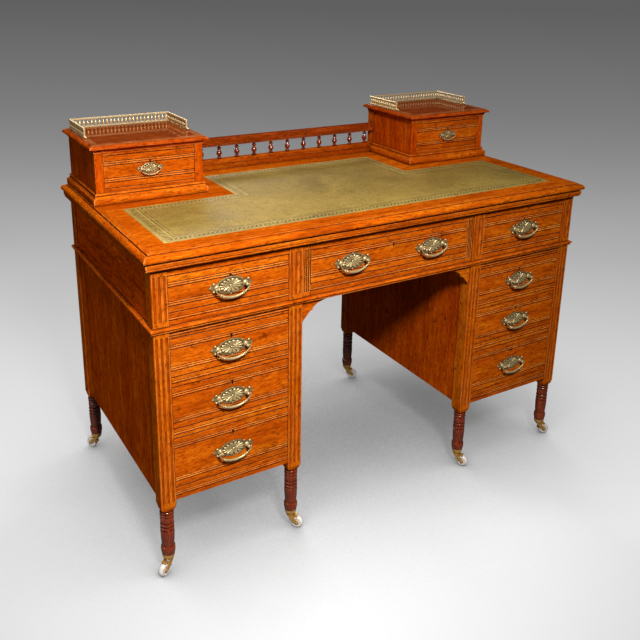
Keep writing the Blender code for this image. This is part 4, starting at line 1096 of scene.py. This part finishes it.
def drawer(name, face, scale=1.0):
    """Front with keyhole, pale lining boards, keyhole lining and lock of one drawer."""
    low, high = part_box(name)
    x, key_z = (low.x + high.x) / 2, high.z - KEY_DROP
    bm = bmesh.new()
    prism_x(bm, reeded_front(low.z + GAP, high.z, face), (low.x, high.x))
    front = finish_mesh(name + "_front", bm)
    bm = bmesh.new()
    prism_y(bm, keyhole_outline(x, key_z, scale), (face - CUT_PAST, face + KEY_DEPTH))
    front = carve(front, finish_mesh("keyhole", bm))
    seed_boards(front)
    wax_shade_and_crest_highlight(front, face)
    place(name + "_front", front, WOOD_X, "oak", name, [name])

    behind = face + FRONT_THICKNESS - LINING_LAP
    rim = high.z - RIM_DROP
    left, right = low.x + LINING_GAP, high.x - LINING_GAP
    sides = [((x0, behind, low.z), (x0 + LINING, high.y, rim)) for x0 in (left, right - LINING)]
    boards(name + "_sides", sides, PALE_Y, name)
    left, right = left + LINING, right - LINING
    back = ((left, high.y - LINING, low.z + BACK_STEP), (right, high.y, rim - BACK_STEP))
    bottom, panel = low.z + BOTTOM_RISE, low.z + BOTTOM_RISE + BOTTOM
    floor = ((left - LINING_LAP, behind, bottom), (right + LINING_LAP, high.y, panel))
    boards(name + "_bottom", (back, floor), PALE_X, name)

    bm = bmesh.new()
    outer, inner = (keyhole_outline(x, key_z, scale * share) for share in KEY_LINING)
    rings = ((outer, 0.0010), (outer, -0.0002), (inner, -0.0004), (inner, 0.0014))
    loft(bm, [[(px, face + y, pz) for px, pz in ring] for ring, y in rings], close=True)
    piece(name + "_keyhole", bm, PATINA, "brass", name)
    bm = bmesh.new()
    half, below, above = (size * scale for size in LOCK_PLATE)
    iron = face + KEY_DEPTH - LOCK_LAP
    board(bm, (x - half, iron, key_z - below), (x + half, iron + LOCK_IRON, key_z + above), LOCK_EASE)
    piece(name + "_lock", bm, IRON, "brass", name)


# Handles


SPREAD = 0.0325
KNOB = 0.0036
PIN = 0.0016
REACH = 0.0125
BAIL_HALF = 0.0388
BAIL_DROP = 0.0225
PLATE_A = 0.0335
PLATE_B = 0.0190
PETALS = 14
BOSS, PETAL_IN, PETAL_WIDE, PETAL_OUT, BORDER = 0.12, 0.15, 0.60, 0.80, 0.84
RIM_BALLS = (90, 38, 142, 270)
RIM_BALL = 0.0016
RIM_SHARE = 0.98
TIP_START = 0.0270
TIP_LENGTH = 0.0225
TIP_BALL = 0.0030
TIP_BALL_X = 0.0395
TIP_BALL_Z = 0.0085
GRIP_SWELL = 0.0014
BAIL_BEADS = ((0.78, 0.0033), (0.92, 0.0040))
BAIL_BEAD_HALF = 0.0021


def petal(s, angle):
    """How far a point of the plate is raised by a petal: 1 along its ridge, 0 between petals."""
    if not PETAL_IN < s < PETAL_OUT:
        return 0.0
    end = math.sqrt(1 - (max(0.0, s - PETAL_WIDE) / (PETAL_OUT - PETAL_WIDE)) ** 2)
    off = abs((angle * PETALS / math.tau + 0.5) % 1.0 - 0.5) * 2
    across = off / (0.88 * end)
    return end * math.sqrt(max(0.0, 1 - across * across))


def relief(s, angle):
    """Height of the pressed plate at a share s of its radius: boss, ring of petals, plain border."""
    if s < BOSS:
        return 0.0014 + 0.0022 * math.sqrt(1 - (s / BOSS) ** 2)
    if s > BORDER:
        return 0.0016 - 0.0009 * ((s - BORDER) / (1 - BORDER)) ** 2
    swell = 0.0007 + 0.0019 * (s - PETAL_IN) / (PETAL_OUT - PETAL_IN)
    return 0.0010 + swell * petal(s, angle)


def rosette(bm):
    """The oval plate, its face towards -Y: bright petals, dark between them, a dull border."""
    steps, rows = PETALS * 16, 36
    rings = [[bm.verts.new((0, -relief(0, 0), 0))]]
    for row in range(1, rows + 1):
        s = row / rows
        ring = []
        for i in range(steps):
            angle = math.tau * i / steps
            point = (PLATE_A * s * math.cos(angle), -relief(s, angle), PLATE_B * s * math.sin(angle))
            ring.append(bm.verts.new(point))
        rings.append(ring)
    rings.append([bm.verts.new((v.co.x, 0, v.co.z)) for v in rings[-1]])
    for row, (a, b) in enumerate(zip(rings, rings[1:])):
        s = (row + 0.5) / rows
        for i in range(steps):
            j = (i + 1) % steps
            quad = [a[i % len(a)], a[j % len(a)], b[j], b[i]]
            face = bm.faces.new(list(dict.fromkeys(quad)))
            raised = petal(s, math.tau * (i + 0.5) / steps) > 0.3
            face.material_index = 1 if s > BORDER else 0 if raised or s < BOSS else 2
    bm.faces.new(rings[-1])


def ball(bm, radius, centre):
    lathe(bm, arc(0, 0, radius, 90, -90, 10), 14, Matrix.Translation(centre))


def plate_tip(bm, side):
    """The pointed leaf beyond a post, with rolled edges and a small ball at each shoulder."""
    rows, columns = 14, 12
    sections = []
    first = len(bm.faces)
    for i in range(rows + 1):
        t = i / rows
        x = side * (TIP_START + TIP_LENGTH * t)
        half = 0.0082 * (1 - t ** 3) + 0.0018 * math.cos(math.tau * t / 0.53) * (1 - t) + 0.0004
        line = []
        for k in range(columns + 1):
            u = 2 * k / columns - 1
            fold = (1 - u * u) ** 0.5 * (0.6 + 0.4 * math.cos(3 * math.pi * u))
            line.append((x, -0.0010 - 0.0016 * fold * (1 - 0.6 * t), half * u))
        sections.append(line + [(x, 0.0, z) for x, _, z in reversed(line)])
    loft(bm, sections)
    for face in list(bm.faces)[first:]:
        face.material_index = 1
    for z in (-TIP_BALL_Z, TIP_BALL_Z):
        ball(bm, TIP_BALL, (side * TIP_BALL_X, -0.0018, z))


def handle_knob(bm, side):
    """A turned post with a round eye, standing out of the plate."""
    turn = Matrix.Translation((side * SPREAD, 0, 0)) @ Matrix.Rotation(math.radians(90), 4, "X")
    profile = [(0.0, REACH + KNOB)] + arc(0, REACH, KNOB, 90, -90, 14)[1:12]
    profile += [(0.0030, REACH - KNOB - 0.0006), (0.0032, 0.0052), (0.0048, 0.0042)]
    profile += [(0.0062, 0.0030), (0.0064, 0.0), (0.0, 0.0)]
    lathe(bm, profile, 20, turn)


def plate_mesh():
    bm = bmesh.new()
    rosette(bm)
    for degrees in RIM_BALLS:
        angle = math.radians(degrees)
        x, z = PLATE_A * RIM_SHARE * math.cos(angle), PLATE_B * RIM_SHARE * math.sin(angle)
        ball(bm, RIM_BALL, (x, -0.0008, z))
    for side in SIDES.values():
        plate_tip(bm, side)
        handle_knob(bm, side)
    mesh = finish_mesh("handle_plate", bm, 50)
    for material in (BRASS, DULL_BRASS, PATINA):
        mesh.materials.append(material)
    return mesh


def bail_point(angle):
    """A point of the bail's curve, from 0 at its left end to pi at its right."""
    drop = -BAIL_DROP * max(0.0, math.sin(angle)) ** 1.15
    return Vector((-BAIL_HALF * math.cos(angle), 0, drop))


def bail_mesh():
    """A drop bail about its pivot: slim necks, a pair of beads on each side and a swelling grip."""
    steps = 48
    pin = [Vector((SPREAD + reach, 0, 0)) for reach in (0.001, KNOB)]
    path = [-point for point in pin]
    radii = [PIN, PIN]
    for i in range(steps + 1):
        angle = math.pi * i / steps
        path.append(bail_point(angle))
        swell = max(0.0, (math.sin(angle) - 0.72) / 0.28)
        radii.append(PIN + GRIP_SWELL * swell ** 0.6)
    path += reversed(pin)
    radii += [PIN, PIN]
    bm = bmesh.new()
    tube(bm, path, radii, 12)
    for turn, radius in BAIL_BEADS:
        for angle in (turn, math.pi - turn):
            along = bail_point(angle + 0.01) - bail_point(angle - 0.01)
            seat = Matrix.Translation(bail_point(angle)) @ along.to_track_quat("Z", "Y").to_matrix().to_4x4()
            lathe(bm, arc(0, 0, radius, 90, -90, 8, BAIL_BEAD_HALF), 16, seat)
    return finish_mesh("drop_bail", bm, 50)


SMALL = 0.66
HANDLES = {
    "left_frieze": "left_frieze_drawer",
    "right_frieze": "right_frieze_drawer",
    "centre_frieze_left": "centre_frieze_drawer",
    "centre_frieze_right": "centre_frieze_drawer",
}
HANDLES.update({f"{side}_{level}": f"{side}_{level}_drawer" for side in SIDES for level in LEVELS})


def scaled(mesh, factor, name):
    copy = mesh.copy()
    copy.name = name
    copy.transform(Matrix.Scale(factor, 4))
    return copy


def handles():
    plate, bail = plate_mesh(), bail_mesh()
    small_plate, small_bail = scaled(plate, SMALL, "small_plate"), scaled(bail, SMALL, "small_bail")
    swings = [joint for joint in frame["joints"] if joint["name"].endswith("_swing")]
    pivots = {joint["child"]: Vector(joint["pos_m"]) for joint in swings}
    for stem, body in HANDLES.items():
        pivot = pivots[stem + "_bail"]
        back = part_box(stem + "_plate")[1].y
        place(stem + "_rosette", plate, BRASS, "brass", body, [stem + "_plate"], (pivot.x, back, pivot.z))
        place(stem + "_drop", bail, BRASS, "brass", stem + "_bail", [stem + "_bail"], pivot)
    for stem in ("left_case", "right_case"):
        pivot = pivots[stem + "_bail"]
        seat = (pivot.x, CASE_FACE, pivot.z)
        place(stem + "_rosette", small_plate, BRASS, "brass", stem + "_drawer", (), seat)
        place(stem + "_drop", small_bail, BRASS, "brass", stem + "_bail", [stem + "_bail"], pivot)


# Drawer cases


LID_OUT = 0.012
BASE_OUT = 0.0096
CASE_LOW, CASE_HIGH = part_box("right_case")
CASE_FRONT = CASE_LOW.y + LID_OUT
CASE_BACK = CASE_HIGH.y - LID_OUT
CASE_IN = CASE_LOW.x + LID_OUT
CASE_OUT = CASE_HIGH.x - LID_OUT
CASE_FACE = CASE_FRONT + SETBACK
BASE_TOP = 0.795
CASE_TOP = 0.891
STILE = 0.020
CASE_BOARD = 0.012
CASE_LAP = 0.002
CASE_BACK_LAP = 0.010
CASE_FLOOR_LAP = 0.003
SIDE_RECESS = 0.001
LID_ARRIS = LID_OUT - 0.0085
LID_BOARD = 0.0040
LID_CORE_DROP = 0.0030
LID_EASE = 0.0005


def base_section():
    """Case base as (out, height): a bead at the top, a cove, a fillet and a plinth."""
    low, out, top = CASE_LOW.z, BASE_OUT, BASE_TOP
    points = [(-0.010, top), (0.0012, top)] + arc(0.0014, top - 0.0026, 0.0026, 90, -70, 8)
    points += [(0.0018, top - 0.0058), (0.0030, top - 0.0064)]
    points += arc(0.0086, top - 0.0066, 0.0052, 180, 270, 6)
    points += [(0.0088, top - 0.0122), (out - 0.0003, top - 0.0124), (out, top - 0.0130)]
    return points + [(out, low + 0.0012), (out - 0.0007, low), (-0.010, low)]


def lid_section():
    """Lid edge as (out, height): a long ovolo from the arris down to the nose, and a cove under it."""
    out, top = LID_OUT, CASE_HIGH.z
    arris, nose = LID_ARRIS, top - 0.0078
    points = [(-0.012, top - 0.0014), (arris + 0.0001, top - 0.0014)]
    points += arc(arris + 0.0006, nose, out - arris - 0.0006, 90, 0, 9, 0.0062)
    points += arc(out - 0.0012, nose - 0.0008, 0.0012, 0, -90, 4)
    points += arc(out - 0.0025, top - 0.0180, 0.0085, 90, 180, 7, 0.0078)
    return points + [(0.001, CASE_TOP - 0.001), (-0.012, CASE_TOP - 0.001)]


def moulding_ring(name, section, xs, ys, woods):
    """Mitred moulding round all four sides, grained along each run."""
    corner = {(sx, sy): (xs[sx > 0], ys[sy > 0]) for sx in (-1, 1) for sy in (-1, 1)}
    along_x = (((-1, -1), (1, -1)), ((1, 1), (-1, 1)))
    along_y = (((1, -1), (1, 1)), ((-1, 1), (-1, -1)))
    for material, pairs in zip(woods, (along_x, along_y)):
        bm = bmesh.new()
        for a, b in pairs:
            mitred(bm, section, corner[a], corner[b], a, b)
        timber(f"{name}_{material.name[-1]}", bm, material)


def drawer_case(side_name):
    name = side_name + "_case"
    xs = mirrored(SIDES[side_name], CASE_IN, CASE_OUT)
    ys = (CASE_FRONT, CASE_BACK)
    moulding_ring(name + "_base", base_section(), xs, ys, (WOOD_X, WOOD_Y))
    moulding_ring(name + "_lid_edge", lid_section(), xs, ys, (LID_EDGE_X, LID_EDGE_Y))
    bm = bmesh.new()
    top, core, edge = CASE_HIGH.z, CASE_BOARD, LID_ARRIS
    board(bm, (xs[0] + core, ys[0] + core, CASE_TOP), (xs[1] - core, ys[1] - core, top - LID_CORE_DROP), 0)
    board(bm, (xs[0] - edge, ys[0] - edge, top - LID_BOARD), (xs[1] + edge, ys[1] + edge, top), LID_EASE)
    timber(name + "_lid", bm, LID_X)

    drawer_low, drawer_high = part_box(name + "_drawer")
    sill, head = drawer_low.z - GAP, drawer_high.z + 2 * GAP
    left, right = xs[0] + STILE, xs[1] - STILE
    front, behind = ys[0] + STILE, ys[1] - STILE
    foot = BASE_TOP - CASE_LAP
    boards(name + "_boards", (
        ((left, CASE_FACE, foot), (right, front, sill)),
        ((left, CASE_FACE, head), (right, front, CASE_TOP)),
        ((left, ys[1] - CASE_BOARD, BASE_TOP - CASE_BACK_LAP), (right, ys[1] - SIDE_RECESS, CASE_TOP)),
    ), WOOD_X, nodes=[name])
    bm = bmesh.new()
    for x0, inset in ((xs[0], SIDE_RECESS), (right, 0.0)):
        board(bm, (x0, ys[0], foot), (x0 + STILE, front, CASE_TOP), POST_EASE)
        board(bm, (x0, behind, foot), (x0 + STILE, ys[1], CASE_TOP), POST_EASE)
        board(bm, (x0 + inset, front, foot), (x0 + STILE - SIDE_RECESS + inset, behind, CASE_TOP))
    timber(name + "_sides", bm, PANEL_Z)
    floor = ((left, front, BASE_TOP - CASE_FLOOR_LAP), (right, ys[1] - CASE_BOARD, sill))
    boards(name + "_floor", [floor], PALE_X)


# Galleries


BALUSTER_PITCH = 0.0098
BALUSTER_STOUT = 1.12
GALLERY_WING = 0.128
GALLERY_RISE = 0.0240
GALLERY_HALF = 0.0027
GALLERY_SOLE = 0.0028
GALLERY_RAIL = 0.0034
SOLE_EASE = 0.0009
RAIL_EASE = 0.0014
BALUSTER_LAP = 0.0004
FINIAL_AHEAD = 0.002
END_BALLS = ((0.0072, 0.0030), (0.0116, 0.0022))
SPINDLES = 12
SPINDLE_FOOT = 0.0284
SPINDLE_LENGTH = 0.036
SPINDLE_LAP = 0.0005


def baluster_profile(low, high):
    """A small vase baluster between two brass rails."""
    rise = high - low
    shares = (
        (0.0016, 1.0), (0.0016, 0.95), (0.0025, 0.92), (0.0025, 0.87), (0.0013, 0.82), (0.0013, 0.74),
        (0.0021, 0.63), (0.0029, 0.50), (0.0029, 0.40), (0.0022, 0.29), (0.0013, 0.21), (0.0013, 0.16),
        (0.0026, 0.12), (0.0026, 0.05), (0.0018, 0.02), (0.0018, 0.0),
    )
    return [(0.0, high)] + [(BALUSTER_STOUT * r, low + rise * share) for r, share in shares] + [(0.0, low)]


def finial_profile(low, top):
    """A turned end post with a button on it."""
    points = [(0.0, top + 0.0008), (0.0016, top + 0.0005), (0.0021, top - 0.0006), (0.0014, top - 0.0018)]
    points += bead(0.0028, 0.0020, top - 0.0042, 0.0022)
    points += [(0.0021, top - 0.0080), (0.0023, (low + top) / 2), (0.0021, low + 0.0080)]
    points += bead(0.0034, 0.0022, low + 0.0045, 0.0026)
    return points + [(0.0034, low + 0.0012), (0.0034, low), (0.0, low)]


def strip_path(bm, path, half, zs, ease):
    """A rounded flat bar along three sides of a lid, from one front end round the back to the other."""
    low, high = zs
    section = [(-half, low), (half, low), (half, high - ease), (half - ease, high)]
    section += [(ease - half, high), (-half, high - ease)]
    rows = []
    for (x, y), (out_x, out_y) in zip(path, ((-1, 0), (-1, 1), (1, 1), (1, 0))):
        rows.append([(x + o * out_x, y + o * out_y, z) for o, z in section])
    loft(bm, rows)


def brass_gallery(side_name):
    node = side_name + "_brass_gallery"
    low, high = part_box(node)
    half = GALLERY_HALF
    left, right, back = low.x + half, high.x - half, high.y - half
    front = back - GALLERY_WING
    path = [(left, front), (left, back), (right, back), (right, front)]
    sole, top = low.z + GALLERY_SOLE, low.z + GALLERY_RISE
    rail = top - GALLERY_RAIL
    bm = bmesh.new()
    strip_path(bm, path, half, (low.z, sole), SOLE_EASE)
    strip_path(bm, path, half, (rail, top), RAIL_EASE)
    corners = [Vector((x, y, 0)) for x, y in path]
    profile = baluster_profile(sole - BALUSTER_LAP, rail + BALUSTER_LAP)
    for a, b in zip(corners, corners[1:]):
        count = max(1, round((b - a).length / BALUSTER_PITCH))
        for i in range(count):
            lathe(bm, profile, 14, Matrix.Translation(a.lerp(b, (i + 0.5) / count)))
    for x, y in (path[0], path[-1]):
        lathe(bm, finial_profile(low.z, top), 16, Matrix.Translation((x, y - FINIAL_AHEAD, 0)))
        for ahead, radius in END_BALLS:
            ball(bm, radius, (x, y - ahead, low.z + radius))
    piece(side_name + "_gallery_brass", bm, RUBBED_BRASS, "brass", "desk", [node], 40)


def spindle_profile(low, high):
    """A turned spindle: cup, ring, vase and base ring."""
    rise = high - low
    shares = (
        (0.0046, 1.0), (0.0046, 0.965), (0.0034, 0.94), (0.0030, 0.90), (0.0044, 0.865), (0.0058, 0.82),
        (0.0058, 0.77), (0.0044, 0.73), (0.0032, 0.70), (0.0036, 0.66), (0.0052, 0.58), (0.0068, 0.50),
        (0.0076, 0.43), (0.0074, 0.36), (0.0060, 0.29), (0.0042, 0.23), (0.0034, 0.19), (0.0044, 0.155),
        (0.0058, 0.12), (0.0058, 0.075), (0.0044, 0.04), (0.0040, 0.0),
    )
    return [(0.0, high)] + [(radius, low + rise * share) for radius, share in shares] + [(0.0, low)]


def gallery_rail_section(y0, y1, z0, z1, plinth):
    """A rail's section: a rounded moulding with a quirk, over a plinth set back on both faces if asked."""
    step = 0.0032 if plinth else 0.0
    foot = z1 - 0.0125 if plinth else z0 + 0.0045
    radius = 0.0030

    def face(y, way):
        lower = [(y + way * step, z0), (y + way * step, foot - 0.0022), (y + way * 0.0012, foot - 0.0006)]
        if not plinth:
            lower = [(y + way * 0.0016, z0), (y, z0 + 0.0014), (y, foot - 0.0006)]
        groove = [(y + way * 0.0012, foot), (y, foot + 0.0007)]
        crown = [(y + way * (radius - c), s) for c, s in arc(0, z1 - radius, radius, 0, 90, 5)]
        return lower + groove + crown

    return face(y0, 1) + list(reversed(face(y1, -1)))


def spindle_gallery():
    low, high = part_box("spindle_gallery")
    bottom_rail = low.z + SPINDLE_FOOT
    top_rail = bottom_rail + SPINDLE_LENGTH
    short = high.x - BASE_OUT
    bm = bmesh.new()
    prism_x(bm, gallery_rail_section(low.y, high.y, low.z, bottom_rail, True), (-short, short))
    timber("gallery_bottom_rail", bm, RAIL_X, nodes=["spindle_gallery"])
    bm = bmesh.new()
    prism_x(bm, gallery_rail_section(low.y, high.y, top_rail, high.z, False), (low.x, high.x))
    timber("gallery_top_rail", bm, DARK_X, slot="dark_oak")
    bm = bmesh.new()
    pitch = 2 * CASE_IN / SPINDLES
    profile = spindle_profile(bottom_rail - SPINDLE_LAP, top_rail + SPINDLE_LAP)
    for i in range(SPINDLES):
        x = (i - (SPINDLES - 1) / 2) * pitch
        lathe(bm, profile, 24, Matrix.Translation((x, (low.y + high.y) / 2, 0)))
    timber("gallery_spindles", bm, DARK_Z, slot="dark_oak")


# Casters


TRAIL = 0.017
WHEEL_RADIUS = 0.015
WHEEL_HALF = 0.006
ARM_IN = WHEEL_HALF + 0.0006
ARM = 0.0019
HORN_CAP = (
    (0.0, -0.0002), (0.0112, -0.0002), (0.0126, -0.0012), (0.0126, -0.0032),
    (0.0112, -0.0044), (0.0096, -0.0052), (0.0094, -0.0073), (0.0, -0.0073),
)
AXLE_CAP = (
    (0.0, 0.0022), (0.0016, 0.0021), (0.0025, 0.0012), (0.0026, 0.0),
    (0.0050, -0.0001), (0.0050, -0.0010), (0.0, -0.0010),
)


def horn_arm(bm, side, axle):
    """One arm of the horn, curving back and down from the swivel to the axle."""
    steps = 14
    sections = []
    for i in range(steps + 1):
        t = i / steps
        centre = Vector((-0.001 + (TRAIL + 0.001) * t ** 1.5, 0, -0.0045 + (axle + 0.0045) * t))
        wide = 0.0072 * (1 - t) + 0.0046 * t - 0.0012 * math.sin(math.pi * t)
        lean = Vector((1, 0, 0.35 + 0.3 * t)).normalized() * wide
        a, b = centre - lean, centre + lean
        middle = (a + b) / 2
        inner = ARM_IN * side
        outer = (ARM_IN + ARM + 0.0005 * math.sin(math.pi * t)) * side
        edge = outer * 0.985
        places = ((a, inner), (b, inner), (b, edge), (middle, outer), (a, edge))
        sections.append([(point.x, y, point.z) for point, y in places])
    loft(bm, sections)


def fork_mesh():
    """A cast horn that trails along +X from its swivel, about the foot's tip."""
    bm = bmesh.new()
    lathe(bm, HORN_CAP, 28)
    cheek = ARM_IN + ARM
    board(bm, (-0.0085, -cheek, -0.0100), (0.0075, cheek, -0.0050), 0.0015)
    axle = WHEEL_RADIUS - FOOT_TIP
    inner, outer = WHEEL_RADIUS + 0.0016, WHEEL_RADIUS + 0.0036
    rim = ((inner, -ARM_IN), (outer, -ARM_IN), (outer, ARM_IN), (inner, ARM_IN))
    guard = []
    for i in range(13):
        turn = math.radians(172 - 86 * i / 12)
        guard.append([(TRAIL + r * math.cos(turn), y, axle + r * math.sin(turn)) for r, y in rim])
    loft(bm, guard)
    for side in SIDES.values():
        horn_arm(bm, side, axle)
        seat = Matrix.Translation((TRAIL, side * (ARM_IN + 0.0011), axle))
        lathe(bm, AXLE_CAP, 20, seat @ Matrix.Rotation(math.radians(-90 * side), 4, "X"))
    pin = ARM_IN + 0.0005
    seat = Matrix.Translation((TRAIL, 0, axle)) @ Matrix.Rotation(math.radians(90), 4, "X")
    lathe(bm, [(0.0, pin), (0.0019, pin), (0.0019, -pin), (0.0, -pin)], 16, seat)
    return finish_mesh("caster_horn", bm, 45)


def wheel_mesh():
    """A crowned porcelain wheel about its axle, along Y, with a recessed hub."""
    h = WHEEL_HALF
    half = [(0.0026, h - 0.0006), (0.0062, h - 0.0006), (0.0076, h - 0.0010), (0.0096, h - 0.0002)]
    half += [(0.0118, h), (0.0133, h - 0.0009), (0.0144, h - 0.0026), (0.0149, h - 0.0045)]
    profile = half + [(WHEEL_RADIUS, 0.0)] + [(r, -z) for r, z in reversed(half)]
    turn = Matrix.Rotation(math.radians(90), 4, "X")
    bm = bmesh.new()
    loft(bm, [[turn @ p for p in circle(radius, height, 40)] for radius, height in profile], close=True)
    return finish_mesh("caster_wheel", bm, 45)


def casters():
    horn, wheel = fork_mesh(), wheel_mesh()
    swivels = {joint["child"]: joint for joint in frame["joints"] if joint["name"].endswith("_swivel")}
    rolls = {joint["parent"]: joint for joint in frame["joints"] if joint["name"].endswith("_roll")}
    for fork, joint in swivels.items():
        pivot = Vector(joint["pos_m"])
        axle = Vector(rolls[fork]["pos_m"])
        trail = math.atan2(axle.y - pivot.y, axle.x - pivot.x)
        place(fork + "_horn", horn, CASTER_BRASS, "brass", fork, [fork], pivot, (0, 0, trail))
        child = rolls[fork]["child"]
        place(child + "_porcelain", wheel, PORCELAIN, "porcelain", child, [child], axle, (0, 0, trail))


# Stage


CAMERA_PLACE = (-1.0720, -1.7252, 1.3068)
CAMERA_YAW = 31.28
CAMERA_PITCH = -17.49
CAMERA_ROLL = 1.08
FOCAL_PIXELS = 805.0
PICTURE = 640
AXIS_ROW = 220
SENSOR = 36.0
PAPER_NEAR = -2.0
PAPER_FAR = 6.5
# The glow's tone along the depth, palest just in front of the desk and greying towards the wall: painted
# falloff of light.
PAPER_TONES = (
    (-2.0, 0.40), (-0.8, 0.565), (-0.35, 0.76), (0.3, 0.65), (0.85, 0.54),
    (1.6, 0.42), (2.9, 0.30), (4.6, 0.19), (6.3, 0.11),
)
PAPER_SWEEP = (11.0, -8.0, 3.4, 2.4, 6.5)
# A painted pool of light on the floor in front of the desk: its middle, how much it adds and how far it
# reaches.
PAPER_POOL = (-0.02, -0.75, 0.0)
PAPER_LIFT = 0.36
PAPER_REACH = 0.80
# How dark the painted shadow under and beside the desk makes the paper's glow.
PAPER_SHADE = 0.17
PAPER_MIRRORED = 0.10
WORLD_STRENGTH = 0.06
# Each lamp's name, place, target, size, power in watts and spread in degrees
LAMPS = (
    ("key", (-0.68, -2.00, 2.35), (-0.48, -0.30, 0.62), (0.40, 0.40), 18.5, 74),
    ("overhead", (-0.8, -1.0, 3.4), (-0.5, -0.4, 0), (1.8, 1.4), 4.5, 130),
    ("fill", (-3.0, -0.6, 0.3), (-0.6, 0.0, 0.30), (1.4, 1.0), 3.4, 110),
    ("back", (0.25, 2.0, 1.90), (0.1, 0.25, 0.45), (0.9, 0.4), 8.0, 130),
)


def camera():
    """The camera at the photograph's place and angle."""
    data = bpy.data.cameras.new("photo_camera")
    data.sensor_width = SENSOR
    data.lens = FOCAL_PIXELS * SENSOR / PICTURE
    data.shift_y = (AXIS_ROW - PICTURE / 2) / PICTURE
    obj = add_object("photo_camera", data)
    obj.location = CAMERA_PLACE
    turn = Matrix()
    for degrees, axis in ((-CAMERA_YAW, "Z"), (90 + CAMERA_PITCH, "X"), (CAMERA_ROLL, "Z")):
        turn = turn @ Matrix.Rotation(math.radians(degrees), 4, axis)
    obj.rotation_euler = turn.to_euler()
    bpy.context.scene.camera = obj


def area_light(name, location, target, size, power, spread):
    data = bpy.data.lights.new(name, "AREA")
    data.shape = "RECTANGLE"
    data.size, data.size_y = size
    data.energy = power
    data.spread = math.radians(spread)
    obj = add_object(name, data)
    obj.location = location
    obj.rotation_euler = (Vector(target) - Vector(location)).to_track_quat("-Z", "Y").to_euler()


def backdrop():
    """A pale floor that sweeps up into a grey wall square to the view; its glow carries painted falloff of
    light, a painted pool of light in front of the desk and a painted shadow under and beside it.
    """
    g = Graph("studio_paper")
    place = g.add("ShaderNodeTexCoord").outputs["Object"]
    # Painted falloff of light: the glow's tone follows the depth along the view.
    depth = g.vector("DOT_PRODUCT", place, (0, 1, 1))["Value"]
    share = g.grey(depth, 0.0, 1.0, PAPER_NEAR, PAPER_FAR)
    tone = g.ramp(share, [((s - PAPER_NEAR) / (PAPER_FAR - PAPER_NEAR), (v, v, v)) for s, v in PAPER_TONES])
    # Painted pool of light in front of the desk.
    pool = g.vector("DISTANCE", place, PAPER_POOL)["Value"]
    lift = g.grey(pool, PAPER_LIFT, 0.0, 0.0, PAPER_REACH)
    # Painted shadow: the glow darkens near the desk, under and beside it.
    shade = g.grey(g.hollows(0.72, 8), PAPER_SHADE, 1.0, 0.34, 0.90)
    glow = g.math("MULTIPLY", g.math("ADD", tone, lift), shade)
    rays = g.add("ShaderNodeLightPath").outputs
    seen = g.math("ADD", rays["Is Camera Ray"], g.math("MULTIPLY", rays["Is Glossy Ray"], PAPER_MIRRORED))
    g.wire(g.math("MULTIPLY", glow, seen), g.shader, "Emission Strength")
    g.set(Base_Color=(0.12, 0.12, 0.12, 1), Emission_Color=(1, 1, 1, 1))
    g.set(Roughness=0.9, Specular_IOR_Level=0.0)
    half, front, back, radius, rise = PAPER_SWEEP
    line = [(front, 0.0)] + arc(back, radius, radius, -90, 0, 24) + [(back + radius, rise)]
    bm = bmesh.new()
    rows = [add_verts(bm, [(x, y, z) for y, z in line]) for x in (-half, half)]
    for i in range(len(line) - 1):
        bm.faces.new((rows[0][i], rows[1][i], rows[1][i + 1], rows[0][i + 1]))
    mesh = finish_mesh("studio_sweep", bm)
    mesh.materials.append(g.material)
    obj = add_object("studio_sweep", mesh)
    obj.rotation_euler = (0, 0, math.radians(-CAMERA_YAW))


def studio():
    world = bpy.data.worlds.new("studio")
    world.use_nodes = True
    sockets = world.node_tree.nodes["Background"].inputs
    sockets["Color"].default_value = (1, 1, 1, 1)
    sockets["Strength"].default_value = WORLD_STRENGTH
    bpy.context.scene.world = world
    for lamp in LAMPS:
        area_light(*lamp)
    backdrop()
    camera()
    bpy.context.scene.view_settings.view_transform = "Standard"


top_board()
leather_top()
frieze()
waist()
legs()
for side_name in SIDES:
    pedestal(side_name)
    drawer_case(side_name)
    brass_gallery(side_name)
    drawer(side_name + "_frieze_drawer", FACE)
    for level in LEVELS:
        drawer(f"{side_name}_{level}_drawer", FACE)
    drawer(side_name + "_case_drawer", CASE_FACE, SMALL_LOCK)
drawer("centre_frieze_drawer", FACE)
handles()
spindle_gallery()
casters()
studio()
